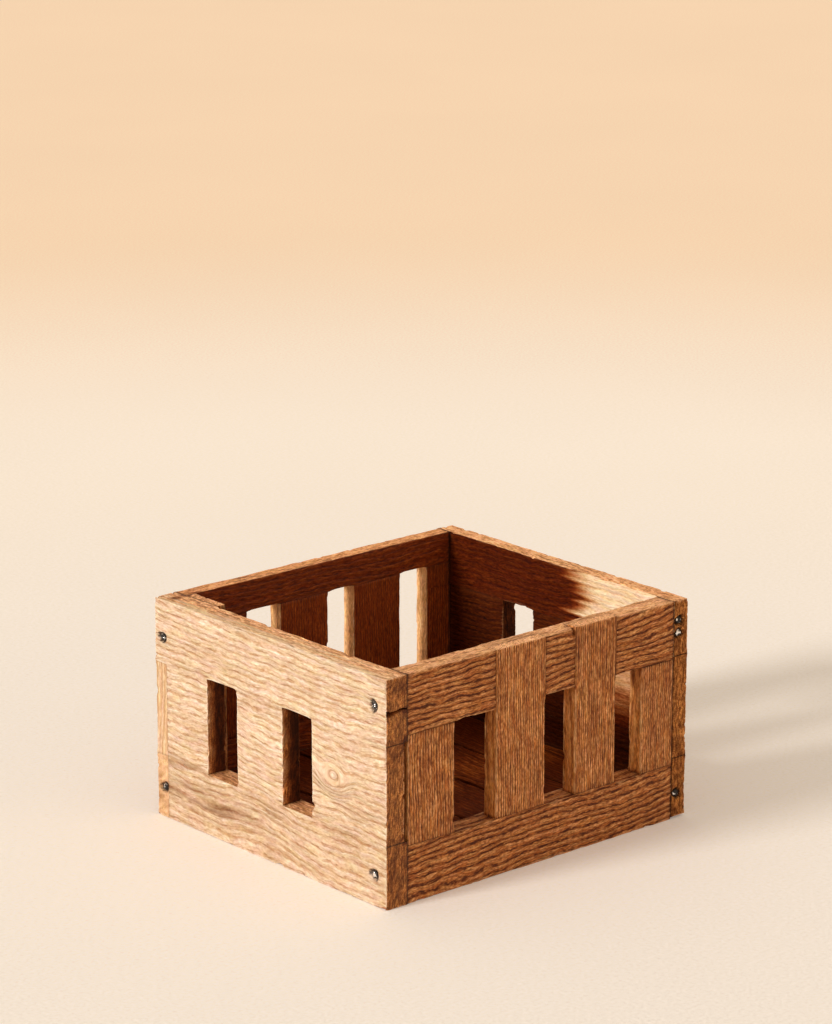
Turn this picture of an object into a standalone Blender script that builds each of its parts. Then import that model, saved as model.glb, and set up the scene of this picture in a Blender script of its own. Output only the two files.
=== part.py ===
"""Open timber wine crate: four framed walls with tall slots, a slatted floor and nailed corners.

Units are metres, +Z is up, and the origin is the middle of the footprint on the ground. The front wall
faces -Y and the left wall faces -X. On each wall, places are given as a distance along the wall, a
distance in from its outer face and a height.
"""

import math

import bmesh
import bpy
from mathutils import Vector

OBJECT_NAME = "wine_crate"

# Overall size
CRATE_LENGTH = 0.225
CRATE_DEPTH = 0.200
RIM_HEIGHT = 0.130

# Fit between neighbouring boards, and the eased edge of every board
JOINT_GAP = 0.0003
EDGE_EASE = 0.0006

# Thickness of the rails and of the pieces between them, wall by wall
FRONT_RAIL_THICK = 0.014
FRONT_SLAT_THICK = 0.010
LEFT_RAIL_THICK = 0.015
LEFT_BLOCK_THICK = 0.013
RIGHT_RAIL_THICK = 0.011
RIGHT_BLOCK_THICK = 0.011
BACK_RAIL_THICK = 0.010
BACK_SLAT_THICK = 0.010

# Height of the rails
FRONT_TOP_RAIL = 0.034
FRONT_BOTTOM_RAIL = 0.033
LEFT_TOP_RAIL = 0.0375
LEFT_BOTTOM_RAIL = 0.036
RIGHT_TOP_RAIL = 0.0325
RIGHT_BOTTOM_RAIL = 0.0365
RIGHT_RAIL_LIFT = 0.0012
BACK_TOP_RAIL = 0.019
BACK_BOTTOM_RAIL = 0.037

# Front wall from left to right: the slats' widths, and each slot's share of the width they leave
FRONT_SLATS = (0.0335, 0.0365, 0.0310, 0.0249)
FRONT_SLOT_SHARES = (30.0, 22.5, 20.0)
SLAT_LAP = 0.007
SLAT_PROUD = 0.0008
HOUSING_CHIP_WIDTH = 0.0035
HOUSING_CHIP_HEIGHT = 0.006
HOUSING_CHIP_DEPTH = 0.004

# The same on the back wall, from left to right as seen from the front
BACK_SLATS = (0.0590, 0.0360, 0.0360, 0.0290)
BACK_SLOT_SHARES = (24.5, 19.5, 21.0)

# The same on the side walls, from front to back
LEFT_BLOCKS = (0.0620, 0.0400, 0.0367)
LEFT_SLOT_SHARES = (25.0, 26.0)
RIGHT_BLOCKS = (0.0580, 0.0330, 0.0470)
RIGHT_SLOT_SHARES = (26.0, 25.7)

# Stub tenons that hold slats and blocks in the rails
TENON_THICK = 0.004
TENON_LENGTH = 0.008
TENON_SHOULDER = 0.004

# Drying split in the front end of the left top rail
SPLIT_DROP = 0.0193
SPLIT_WIDE = 0.0012
SPLIT_NARROW = 0.0004
SPLIT_RUN = 0.007
SPLIT_WEB = 0.0016

# Block glued into the back left corner
CORNER_BLOCK_RUN = 0.028
CORNER_BLOCK_THICK = 0.006

# Floor
LEDGER_WIDTH = 0.010
LEDGER_HEIGHT = 0.008
LEDGER_LIFT = 0.002
FLOOR_THICK = 0.008
FLOOR_BOARD_COUNT = 5
FLOOR_SLIT = 0.0025

# Nails
NAIL_HEAD_RADIUS = 0.0022
NAIL_HEAD_THICK = 0.0010
NAIL_SHANK_RADIUS = 0.0007
NAIL_LENGTH = 0.026
NAIL_SINK = 0.0002
BRAD_HEAD_RADIUS = 0.0011
BRAD_HEAD_THICK = 0.0006
BRAD_SHANK_RADIUS = 0.0005
BRAD_BITE = 0.005
NAIL_POINT = 0.0022
NAIL_STEPS = 14
SHARP_ANGLE = math.radians(35)
WELD_DISTANCE = 0.00001

# Places of the nails, from the rim or the ground and from the inner face of the rail they enter
NAIL_FROM_INNER_FACE = 0.0035
FRONT_NAIL_DROP = 0.0170
BACK_NAIL_BELOW_RAIL = 0.0035
LOW_NAIL_HEIGHT = 0.0180
BACK_NAIL_HEIGHT = 0.0240
RIGHT_NAIL_DROP = 0.0157
STRIP_NAIL_DROPS = (0.0120, 0.0193)
STRIP_NAIL_HEIGHT = 0.0150
STRIP_NAIL_INSET = 0.0040

# Colours as linear values, with the roughness of dry brushed timber and of old nails
FRONT_WOOD = (0.335, 0.158, 0.070)
LEFT_WOOD = (0.600, 0.385, 0.215)
RIGHT_WOOD = (0.420, 0.215, 0.098)
BACK_WOOD = (0.380, 0.185, 0.080)
FLOOR_WOOD = (0.360, 0.180, 0.085)
NAIL_STEEL = (0.090, 0.085, 0.085)
WOOD_ROUGHNESS = 0.72
NAIL_ROUGHNESS = 0.38

UP = Vector((0, 0, 1))


class Wall:
    """One side of the crate, with its own directions along the wall and in from its outer face."""

    def __init__(self, corner, along, inward, colour):
        self.corner = Vector(corner)
        self.along = Vector(along)
        self.inward = Vector(inward)
        self.colour = colour

    def point(self, along, inward, height):
        """World position of a place on the wall."""
        return self.corner + self.along * along + self.inward * inward + UP * height

    def board(self, name, along, inward, height):
        """Eased timber board between (start, end) pairs, in this wall's colour."""
        piece = self.block(name, along, inward, height, PARTS)
        ease_edges(piece)
        paint(piece.data, name, self.colour, WOOD_ROUGHNESS, 0.0)
        return piece

    def cutter(self, name, along, inward, height):
        """Plain box between (start, end) pairs that only cuts or joins."""
        return as_cutter(self.block(name, along, inward, height, CUTTERS))

    def block(self, name, along, inward, height, collection):
        """Box object between (start, end) pairs."""
        one = self.point(along[0], inward[0], height[0])
        two = self.point(along[1], inward[1], height[1])
        low = Vector(map(min, one, two))
        high = Vector(map(max, one, two))
        return box(name, low, high, collection)


def clear_scene():
    """Remove every object of the open scene."""
    for old in list(bpy.data.objects):
        bpy.data.objects.remove(old, do_unlink=True)


def new_collection(name):
    """Collection linked to the scene."""
    collection = bpy.data.collections.new(name)
    bpy.context.scene.collection.children.link(collection)
    return collection


def add_object(name, mesh, collection):
    """Object with the given mesh in the given collection."""
    piece = bpy.data.objects.new(name, mesh)
    collection.objects.link(piece)
    return piece


def box(name, low, high, collection):
    """Box between two corners, its origin in its middle and its size in its mesh."""
    shape = bmesh.new()
    bmesh.ops.create_cube(shape, size=1.0)
    bmesh.ops.scale(shape, vec=high - low, verts=shape.verts)
    mesh = bpy.data.meshes.new(name)
    shape.to_mesh(mesh)
    shape.free()
    piece = add_object(name, mesh, collection)
    piece.location = (low + high) / 2
    return piece


def as_cutter(piece):
    """Mark an object as a cutter."""
    piece.hide_render = True
    piece.display_type = "WIRE"
    return piece


def paint(mesh, name, colour, roughness, metallic):
    """Give a mesh its own Principled material."""
    material = bpy.data.materials.new(name + "_finish")
    material.use_nodes = True
    shader = material.node_tree.nodes["Principled BSDF"]
    shader.inputs["Base Color"].default_value = (*colour, 1.0)
    shader.inputs["Roughness"].default_value = roughness
    shader.inputs["Metallic"].default_value = metallic
    material.diffuse_color = (*colour, 1.0)
    mesh.materials.append(material)


def ease_edges(piece):
    """Small chamfer on every edge of a board."""
    ease = piece.modifiers.new("eased_edges", "BEVEL")
    ease.width = EDGE_EASE
    ease.segments = 1
    ease.limit_method = "NONE"


def combine(piece, other, operation):
    """Boolean of a piece with another object."""
    step = piece.modifiers.new(other.name, "BOOLEAN")
    step.operation = operation
    step.solver = "EXACT"
    step.object = other


def cut(piece, *cutters):
    """Remove the cutters from a piece."""
    for cutter in cutters:
        combine(piece, cutter, "DIFFERENCE")


def spans(start, solids, slot_shares, end):
    """(start, end) of each solid along a wall, the slots sharing the width that the solids leave."""
    free = end - start - sum(solids)
    slots = [free * share / sum(slot_shares) for share in slot_shares]
    out = []
    place = start
    for solid, slot in zip(solids, slots + [0.0]):
        out.append((place, place + solid))
        place += solid + slot
    return out


def tenoned(wall, piece, rail, along, thick, joint, direction, notch=(0, 0)):
    """Stub tenon from a slat or block into a rail, and its mortise.

    joint is the height of the rail's face and direction is +1 where the rail is above. notch is how much
    of the piece is cut away at its start and at its end, where the tenon is narrowed by the same amount.
    """
    start = along[0] + TENON_SHOULDER + notch[0]
    end = along[1] - TENON_SHOULDER - notch[1]
    inner = (thick - TENON_THICK) / 2
    outer = inner + TENON_THICK
    root = joint - direction * (JOINT_GAP + TENON_LENGTH / 2)
    tip = joint + direction * TENON_LENGTH
    tenon = wall.cutter(
        piece.name + "_tenon_" + rail.name, (start, end), (inner, outer), (root, tip)
    )
    combine(piece, tenon, "UNION")
    mortise = wall.cutter(
        piece.name + "_mortise_" + rail.name,
        (start - JOINT_GAP, end + JOINT_GAP),
        (inner - JOINT_GAP, outer + JOINT_GAP),
        (joint - direction * TENON_LENGTH / 2, tip + direction * JOINT_GAP),
    )
    cut(rail, mortise)


def between_rails(wall, name, along, thick, rails, joints, notch=(0, 0)):
    """Slat or block that stands between two rails, tenoned into both.

    rails holds the bottom and the top rail, and joints the heights of their facing edges.
    """
    piece = wall.board(name, along, (0, thick), (joints[0] + JOINT_GAP, joints[1] - JOINT_GAP))
    tenoned(wall, piece, rails[0], along, thick, joints[0], -1)
    tenoned(wall, piece, rails[1], along, thick, joints[1], 1, notch)
    return piece


def build_front(wall):
    """Front wall: two slats stop under the top rail and two are halved over it."""
    ends = (LEFT_RAIL_THICK + JOINT_GAP, CRATE_LENGTH - RIGHT_RAIL_THICK - JOINT_GAP)
    rail = (0, FRONT_RAIL_THICK)
    joints = (FRONT_BOTTOM_RAIL, RIM_HEIGHT - FRONT_TOP_RAIL)
    low_joint, high_joint = joints
    bottom = wall.board("front_bottom_rail", ends, rail, (0, low_joint))
    top = wall.board("front_top_rail", ends, rail, (high_joint, RIM_HEIGHT))
    places = spans(ends[0], FRONT_SLATS, FRONT_SLOT_SHARES, ends[1])
    pieces = [bottom, top]
    for number in (1, 4):
        name = f"front_slat_{number}"
        slat = between_rails(wall, name, places[number - 1], FRONT_SLAT_THICK, (bottom, top), joints)
        pieces.append(slat)
    for number, rise in ((2, 0.0), (3, SLAT_PROUD)):
        place = places[number - 1]
        name = f"front_slat_{number}"
        slat = wall.board(name, place, (0, FRONT_SLAT_THICK), (low_joint + JOINT_GAP, RIM_HEIGHT + rise))
        over_rail = (high_joint - JOINT_GAP, RIM_HEIGHT + rise + FRONT_TOP_RAIL)
        wide = (place[0] - FRONT_SLAT_THICK, place[1] + FRONT_SLAT_THICK)
        halving = wall.cutter(name + "_halving", wide, (SLAT_LAP, 2 * FRONT_SLAT_THICK), over_rail)
        cut(slat, halving)
        tenoned(wall, slat, bottom, place, FRONT_SLAT_THICK, low_joint, -1)
        housing = wall.cutter(
            name + "_housing",
            (place[0] - JOINT_GAP, place[1] + JOINT_GAP),
            (-FRONT_RAIL_THICK, SLAT_LAP + JOINT_GAP),
            (high_joint - FRONT_TOP_RAIL, RIM_HEIGHT + FRONT_TOP_RAIL),
        )
        cut(top, housing)
        pieces.append(slat)
    chip_side = places[2][0]
    chip = wall.cutter(
        "housing_chip",
        (chip_side - HOUSING_CHIP_WIDTH, chip_side + HOUSING_CHIP_WIDTH),
        (-HOUSING_CHIP_DEPTH, HOUSING_CHIP_DEPTH),
        (RIM_HEIGHT - HOUSING_CHIP_HEIGHT, RIM_HEIGHT + HOUSING_CHIP_HEIGHT),
    )
    cut(top, chip)
    return pieces


def build_left(wall):
    """Left wall: its top rail runs through to the back, its other pieces stop at the back wall."""
    stop = CRATE_DEPTH - BACK_RAIL_THICK - JOINT_GAP
    joints = (LEFT_BOTTOM_RAIL, RIM_HEIGHT - LEFT_TOP_RAIL)
    rail = (0, LEFT_RAIL_THICK)
    bottom = wall.board("left_bottom_rail", (0, stop), rail, (0, joints[0]))
    top = wall.board("left_top_rail", (0, CRATE_DEPTH), rail, (joints[1], RIM_HEIGHT))
    pieces = [bottom, top]
    for number, place in enumerate(spans(0, LEFT_BLOCKS, LEFT_SLOT_SHARES, stop), 1):
        name = f"left_block_{number}"
        pieces.append(between_rails(wall, name, place, LEFT_BLOCK_THICK, (bottom, top), joints))
    cut(top, split_cutter(wall))
    return pieces


def split_cutter(wall):
    """Wedge for the drying split: wide at the outer face, narrow towards the inner one."""
    middle = RIM_HEIGHT - SPLIT_DROP
    wedge = wall.cutter(
        "drying_split",
        (-SPLIT_RUN, SPLIT_RUN),
        (-SPLIT_WEB, LEFT_RAIL_THICK - SPLIT_WEB),
        (middle - SPLIT_WIDE / 2, middle + SPLIT_WIDE / 2),
    )
    for vertex in wedge.data.vertices:
        inner_side = wall.inward.dot(vertex.co) > 0
        if inner_side:
            vertex.co.z *= SPLIT_NARROW / SPLIT_WIDE
    return wedge


def build_right(wall):
    """Right wall: both rails show their front ends, and it hangs clear of the ground."""
    stop = CRATE_DEPTH - BACK_RAIL_THICK - JOINT_GAP
    joints = (RIGHT_BOTTOM_RAIL, RIM_HEIGHT - RIGHT_TOP_RAIL)
    rail = (0, RIGHT_RAIL_THICK)
    bottom = wall.board("right_bottom_rail", (0, stop), rail, (RIGHT_RAIL_LIFT, joints[0]))
    top = wall.board("right_top_rail", (0, CRATE_DEPTH), rail, (joints[1], RIM_HEIGHT))
    pieces = [bottom, top]
    for number, place in enumerate(spans(0, RIGHT_BLOCKS, RIGHT_SLOT_SHARES, stop), 1):
        name = f"right_block_{number}"
        pieces.append(between_rails(wall, name, place, RIGHT_BLOCK_THICK, (bottom, top), joints))
    return pieces


def build_back(wall):
    """Back wall: its top rail fits between the side rails, its other pieces run out to both sides."""
    joints = (BACK_BOTTOM_RAIL, RIM_HEIGHT - BACK_TOP_RAIL)
    rail = (0, BACK_RAIL_THICK)
    left_end = LEFT_RAIL_THICK + JOINT_GAP
    right_end = CRATE_LENGTH - RIGHT_RAIL_THICK - JOINT_GAP
    bottom = wall.board("back_bottom_rail", (0, CRATE_LENGTH), rail, (0, joints[0]))
    top = wall.board("back_top_rail", (left_end, right_end), rail, (joints[1], RIM_HEIGHT))
    places = spans(0, BACK_SLATS, BACK_SLOT_SHARES, CRATE_LENGTH)
    slats = []
    for number, place in enumerate(places, 1):
        name = f"back_slat_{number}"
        notch = (max(left_end - place[0], 0), max(place[1] - right_end, 0))
        slats.append(between_rails(wall, name, place, BACK_SLAT_THICK, (bottom, top), joints, notch))
    corners = (
        ("left_rail_notch", slats[0], (-LEFT_RAIL_THICK, left_end), LEFT_TOP_RAIL),
        ("right_rail_notch", slats[-1], (right_end, CRATE_LENGTH + RIGHT_RAIL_THICK), RIGHT_TOP_RAIL),
    )
    for name, slat, along, side_rail in corners:
        heights = (RIM_HEIGHT - side_rail - JOINT_GAP, RIM_HEIGHT + side_rail)
        cut(slat, wall.cutter(name, along, (-BACK_RAIL_THICK, 2 * BACK_RAIL_THICK), heights))
    return [bottom, top] + slats


def build_floor():
    """Two ledgers on the bottom rails and the boards that lie across them."""
    left = -CRATE_LENGTH / 2 + LEFT_RAIL_THICK + JOINT_GAP
    right = CRATE_LENGTH / 2 - RIGHT_RAIL_THICK - JOINT_GAP
    front = -CRATE_DEPTH / 2 + FRONT_RAIL_THICK + JOINT_GAP
    back = CRATE_DEPTH / 2 - BACK_RAIL_THICK - JOINT_GAP
    ledge = LEDGER_LIFT + LEDGER_HEIGHT
    pieces = []
    for name, low_y in (("front_ledger", front), ("back_ledger", back - LEDGER_WIDTH)):
        low = Vector((left, low_y, LEDGER_LIFT))
        high = Vector((right, low_y + LEDGER_WIDTH, ledge))
        pieces.append(box(name, low, high, PARTS))
    pitch = (right - left + FLOOR_SLIT) / FLOOR_BOARD_COUNT
    floor_low = ledge + JOINT_GAP
    for number in range(FLOOR_BOARD_COUNT):
        start = left + number * pitch
        low = Vector((start, front, floor_low))
        high = Vector((start + pitch - FLOOR_SLIT, back, floor_low + FLOOR_THICK))
        pieces.append(box(f"floor_board_{number + 1}", low, high, PARTS))
    for piece in pieces:
        ease_edges(piece)
        paint(piece.data, piece.name, FLOOR_WOOD, WOOD_ROUGHNESS, 0.0)
    return pieces


def build_corner_block(wall):
    """Block on the floor in the back left corner, level with the rim."""
    end = CRATE_DEPTH - BACK_RAIL_THICK - JOINT_GAP
    inner = LEFT_RAIL_THICK + JOINT_GAP
    foot = LEDGER_LIFT + LEDGER_HEIGHT + FLOOR_THICK + 2 * JOINT_GAP
    along = (end - CORNER_BLOCK_RUN, end)
    wall.board("corner_block", along, (inner, inner + CORNER_BLOCK_THICK), (foot, RIM_HEIGHT))


class Nail:
    """A kind of nail: its turned mesh and the mesh of the space that it is driven into."""

    def __init__(self, kind, head, head_thick, shank, length):
        self.head = head
        self.reach = length + NAIL_SINK
        body = (
            (0, 0),
            (head, 0),
            (head, -head_thick),
            (shank, -head_thick),
            (shank, NAIL_POINT - length),
            (0, -length),
        )
        seat = -(head_thick + NAIL_SINK + JOINT_GAP)
        bottom = -(self.reach + JOINT_GAP)
        space = (
            (0, head),
            (head + JOINT_GAP, head),
            (head + JOINT_GAP, seat),
            (shank + JOINT_GAP, seat),
            (shank + JOINT_GAP, bottom),
            (0, bottom),
        )
        self.mesh = turned_mesh(kind, body)
        self.bore_mesh = turned_mesh(kind + "_bore", space)
        paint(self.mesh, kind, NAIL_STEEL, NAIL_ROUGHNESS, 1.0)

    def drive(self, name, point, outward, boards):
        """Nail at a point of a surface, and its bore in every board that it reaches."""
        nail = add_object(name, self.mesh, PARTS)
        nail.location = point - outward * NAIL_SINK
        nail.rotation_euler = outward.to_track_quat("Z", "Y").to_euler()
        bore = as_cutter(add_object(name + "_bore", self.bore_mesh, CUTTERS))
        bore.location = point
        bore.rotation_euler = nail.rotation_euler
        tip = point - outward * self.reach
        low = [min(pair) - self.head for pair in zip(point, tip)]
        high = [max(pair) + self.head for pair in zip(point, tip)]
        for board in boards:
            board_low, board_high = world_box(board)
            above = all(a < b for a, b in zip(low, board_high))
            below = all(a > b for a, b in zip(high, board_low))
            if above and below:
                cut(board, bore)


def turned_mesh(name, profile):
    """Mesh of a solid turned about Z from (radius, height) pairs that run down its outer side."""
    line = bpy.data.meshes.new(name + "_profile")
    points = [(radius, 0, height) for radius, height in profile]
    line.from_pydata(points, [(i, i + 1) for i in range(len(points) - 1)], [])
    guide = add_object(name + "_profile", line, CUTTERS)
    turn = guide.modifiers.new("turned", "SCREW")
    turn.steps = NAIL_STEPS
    turn.render_steps = NAIL_STEPS
    turn.use_merge_vertices = True
    turn.merge_threshold = WELD_DISTANCE
    depsgraph = bpy.context.evaluated_depsgraph_get()
    solid = bpy.data.meshes.new_from_object(guide.evaluated_get(depsgraph))
    solid.name = name
    bpy.data.objects.remove(guide, do_unlink=True)
    solid.shade_smooth()
    solid.set_sharp_from_angle(angle=SHARP_ANGLE)
    return solid


def world_box(piece):
    """Lowest and highest corner of a board before its cuts."""
    corners = [piece.location + Vector(vertex.co) for vertex in piece.data.vertices]
    return Vector(map(min, zip(*corners))), Vector(map(max, zip(*corners)))


def drive_row(nail, name, wall, spots, boards):
    """Nails through a wall's outer face at (distance along, height) pairs."""
    for number, (along, height) in enumerate(spots, 1):
        nail.drive(f"{name}_{number}", wall.point(along, 0, height), -wall.inward, boards)


def drive_corner_nails(front, left, right, back, boards):
    """Nails through the side walls, in the front strip and through the back wall."""
    nail = Nail("nail", NAIL_HEAD_RADIUS, NAIL_HEAD_THICK, NAIL_SHANK_RADIUS, NAIL_LENGTH)
    front_row = FRONT_RAIL_THICK - NAIL_FROM_INNER_FACE
    back_row = CRATE_DEPTH - BACK_RAIL_THICK + NAIL_FROM_INNER_FACE
    back_height = RIM_HEIGHT - BACK_TOP_RAIL - BACK_NAIL_BELOW_RAIL
    left_spots = (
        (front_row, RIM_HEIGHT - FRONT_NAIL_DROP),
        (front_row, LOW_NAIL_HEIGHT),
        (back_row, back_height),
        (back_row, LOW_NAIL_HEIGHT),
    )
    drive_row(nail, "left_nail", left, left_spots, boards)
    right_spots = (
        (front_row, RIM_HEIGHT - RIGHT_NAIL_DROP),
        (front_row, LOW_NAIL_HEIGHT),
        (back_row, back_height),
    )
    drive_row(nail, "right_nail", right, right_spots, boards)
    strip = CRATE_LENGTH - RIGHT_RAIL_THICK + STRIP_NAIL_INSET
    heights = [RIM_HEIGHT - drop for drop in STRIP_NAIL_DROPS] + [STRIP_NAIL_HEIGHT]
    drive_row(nail, "front_nail", front, [(strip, height) for height in heights], boards)
    back_spots = [(LEFT_RAIL_THICK - NAIL_FROM_INNER_FACE, BACK_NAIL_HEIGHT), (strip, BACK_NAIL_HEIGHT)]
    drive_row(nail, "back_nail", back, back_spots, boards)


def drive_floor_brads(floor, bottom_rails):
    """Brads down through the floor boards, and pins through the ledgers into the bottom rails."""
    ledgers = floor[:2]
    boards = floor[2:]
    size = (BRAD_HEAD_RADIUS, BRAD_HEAD_THICK, BRAD_SHANK_RADIUS)
    brad = Nail("floor_brad", *size, FLOOR_THICK + BRAD_BITE)
    pin = Nail("ledger_pin", *size, LEDGER_WIDTH + BRAD_BITE)
    for number, board in enumerate(boards, 1):
        top = board.location.z + FLOOR_THICK / 2
        for side, ledger in zip(("front", "back"), ledgers):
            point = Vector((board.location.x, ledger.location.y, top))
            brad.drive(f"{side}_floor_brad_{number}", point, UP, floor)
    slits = [(one.location.x + two.location.x) / 2 for one, two in zip(boards, boards[1:])]
    sides = (("front", ledgers[0], 1), ("back", ledgers[1], -1))
    for side, ledger, inward in sides:
        outward = Vector((0, inward, 0))
        for number, place in enumerate((slits[0], slits[-1]), 1):
            face = ledger.location.y + inward * LEDGER_WIDTH / 2
            point = Vector((place, face, ledger.location.z))
            pin.drive(f"{side}_ledger_pin_{number}", point, outward, ledgers + bottom_rails)


def build_crate():
    """Whole crate."""
    half_length = CRATE_LENGTH / 2
    half_depth = CRATE_DEPTH / 2
    front = Wall((-half_length, -half_depth, 0), (1, 0, 0), (0, 1, 0), FRONT_WOOD)
    left = Wall((-half_length, -half_depth, 0), (0, 1, 0), (1, 0, 0), LEFT_WOOD)
    right = Wall((half_length, -half_depth, 0), (0, 1, 0), (-1, 0, 0), RIGHT_WOOD)
    back = Wall((-half_length, half_depth, 0), (1, 0, 0), (0, -1, 0), BACK_WOOD)
    front_pieces = build_front(front)
    back_pieces = build_back(back)
    walls = front_pieces + build_left(left) + build_right(right) + back_pieces
    floor = build_floor()
    build_corner_block(left)
    drive_corner_nails(front, left, right, back, walls)
    drive_floor_brads(floor, [front_pieces[0], back_pieces[0]])


clear_scene()
PARTS = new_collection(OBJECT_NAME)
CUTTERS = new_collection("cutters")
build_crate()
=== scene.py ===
"""Looks of the open timber wine crate: brushed boards, worn edges, dark nails and a pale studio.

Every timber board is a box lattice whose edges are rounded and whose faces are worn by a field of growth
rings. The same field is kept on the mesh, so that the finish draws its grain where the relief is.
Positions are in metres in the row's frame. Lengths of grain and wear are in millimetres.
"""

import logging
import math
from dataclasses import dataclass, field, replace
from enum import Enum

import bpy
import numpy as np
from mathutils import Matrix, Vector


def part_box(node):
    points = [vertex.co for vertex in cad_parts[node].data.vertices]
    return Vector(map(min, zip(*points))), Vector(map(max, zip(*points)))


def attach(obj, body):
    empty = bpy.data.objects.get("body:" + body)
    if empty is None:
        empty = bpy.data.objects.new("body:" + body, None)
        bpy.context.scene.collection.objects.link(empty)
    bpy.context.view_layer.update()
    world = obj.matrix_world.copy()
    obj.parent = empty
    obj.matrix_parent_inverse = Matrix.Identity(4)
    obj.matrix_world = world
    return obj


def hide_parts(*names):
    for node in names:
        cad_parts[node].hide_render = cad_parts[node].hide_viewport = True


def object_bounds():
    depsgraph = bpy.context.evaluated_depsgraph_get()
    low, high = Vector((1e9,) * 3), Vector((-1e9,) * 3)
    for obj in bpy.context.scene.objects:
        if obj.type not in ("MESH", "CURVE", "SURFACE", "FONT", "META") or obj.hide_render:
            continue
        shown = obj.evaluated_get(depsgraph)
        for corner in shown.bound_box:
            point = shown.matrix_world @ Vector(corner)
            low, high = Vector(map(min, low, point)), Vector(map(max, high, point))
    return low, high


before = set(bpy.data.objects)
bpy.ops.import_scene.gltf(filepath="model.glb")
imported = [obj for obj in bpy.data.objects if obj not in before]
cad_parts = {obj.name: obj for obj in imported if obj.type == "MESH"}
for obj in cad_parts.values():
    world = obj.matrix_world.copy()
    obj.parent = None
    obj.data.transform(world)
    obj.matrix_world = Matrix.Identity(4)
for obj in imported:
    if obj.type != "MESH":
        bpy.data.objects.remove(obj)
cad_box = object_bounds()

LOG = logging.getLogger("wine_crate")
MM = 0.001
# Clearance between two boards, and distance between the two lattice lines at a shoulder, in metres
GAP = 0.0003
PAIR = 0.00012
# Furthest neighbour that counts, in mm, and the way that the faces with painted sunlight look
FAR = 9.0
PAINTED_SUN_SIDE = (-1.0, 0.0, 0.0)
# Turn of each line of a rounded edge, in degrees, and distance under which two lines are one, in metres
EDGE_TURNS = (45.0, 38.0, 26.0, 12.0, 0.0)
SAME_PLACE = 1e-6
# Distances to a neighbour at which a face is open and at which it is hidden, in mm
MEETING = (0.8, 0.4)

Colour = tuple[float, float, float]
Triple = tuple[float, float, float]
Box = tuple[np.ndarray, np.ndarray]
Groups = dict[str, bpy.types.NodeTree]


class Axis(Enum):
    """Axes of the row's frame."""

    X = 0
    Y = 1
    Z = 2


class Side(Enum):
    """Lower or upper face of a board along an axis."""

    LOW = -1
    HIGH = 1


class Slot(Enum):
    """Material slots of the record."""

    FRONT = "front_timber"
    LEFT = "left_timber"
    RIGHT = "right_timber"
    BACK = "back_timber"
    FLOOR = "floor_timber"
    STEEL = "nail_steel"


def eased(value: np.ndarray, start: float, end: float) -> np.ndarray:
    """0 before start, 1 after end and a smooth step between them; start may be the larger."""
    share = np.clip((value - start) / (end - start), 0, 1)
    return share * share * (3 - 2 * share)


# Grain


class Ripple:
    """Smooth seeded noise, mostly from -1 to 1: a sum of sine waves with random headings and starts."""

    waves = 10

    def __init__(self, seed: int, reach: Triple) -> None:
        """Draw the waves.

        Args:
            seed: start of the random draws.
            reach: typical wavelength in mm along the grain, across it and into the board.
        """
        draw = np.random.default_rng(seed)
        heading = draw.normal(size=(self.waves, 3))
        heading /= np.linalg.norm(heading, axis=1)[:, None]
        self.turns = 2 * math.pi * heading * draw.uniform(0.7, 1.5, (self.waves, 1)) / np.array(reach)
        self.start = draw.uniform(0, 2 * math.pi, self.waves)

    def at(self, place: np.ndarray) -> np.ndarray:
        """Noise at each place, given in mm in the grain's own axes."""
        return np.sin(place @ self.turns.T + self.start).sum(axis=1) * 0.9 / math.sqrt(self.waves)


@dataclass(frozen=True)
class Knot:
    """A knot that the grain flows round. Lengths are in mm in the grain's own axes."""

    along: float
    across: float
    reach: float
    gain: float = 1.2
    stretch: float = 1.6

    def turned(self, distance: np.ndarray, place: np.ndarray) -> np.ndarray:
        """Distance from the pith, swung into ovals round the knot.

        Within its reach, the distance across the grain gives way to the distance from the knot.

        Args:
            distance: distance of each point from the pith.
            place: the points, in the grain's own axes.

        Returns:
            The distances, changed within the knot's reach.
        """
        side = place[:, 1] - self.across
        away = np.hypot((place[:, 0] - self.along) / self.stretch, side)
        share = eased(away, self.reach, 0.0)
        return distance + share * (self.gain * away - side)


@dataclass(frozen=True)
class Growth:
    """How the tree's rings run through a board. Lengths are in mm in the grain's own axes.

    Each pulse has a height, a length in rings and a start, and draws some rings together.
    """

    ring: float = 2.8
    pith_across: float = -210.0
    pith_depth: float = -45.0
    slope: float = 0.03
    wander: float = 2.0
    ripple: float = 0.5
    ripple_reach: Triple = (19.0, 15.0, 12.0)
    wander_reach: Triple = (95.0, 70.0, 60.0)
    uneven: float = 0.45
    pulses: tuple[Triple, ...] = ((0.20, 3.3, 0.0), (0.13, 1.9, 1.0))
    seed: int = 1
    knots: tuple[Knot, ...] = ()

    def rings(self, place: np.ndarray) -> np.ndarray:
        """Number of rings out from the pith.

        It is the distance from the pith line, which leans, wanders and ripples along the board, over the
        distance between two rings. The pulses then draw some rings together and others apart.

        Args:
            place: points in mm in the grain's own axes.

        Returns:
            The number at each point.
        """
        across = place[:, 1] - self.pith_across + self.slope * place[:, 0]
        distance = np.hypot(across, place[:, 2] - self.pith_depth)
        distance += self.wander * Ripple(self.seed, self.wander_reach).at(place)
        distance += self.ripple * Ripple(self.seed + 1, self.ripple_reach).at(place)
        for knot in self.knots:
            distance = knot.turned(distance, place)
        rings = distance / self.ring
        turns = 2 * math.pi * rings
        waves = [height * np.sin(turns / length + start) for height, length, start in self.pulses]
        return rings + self.uneven * sum(waves)


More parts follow.
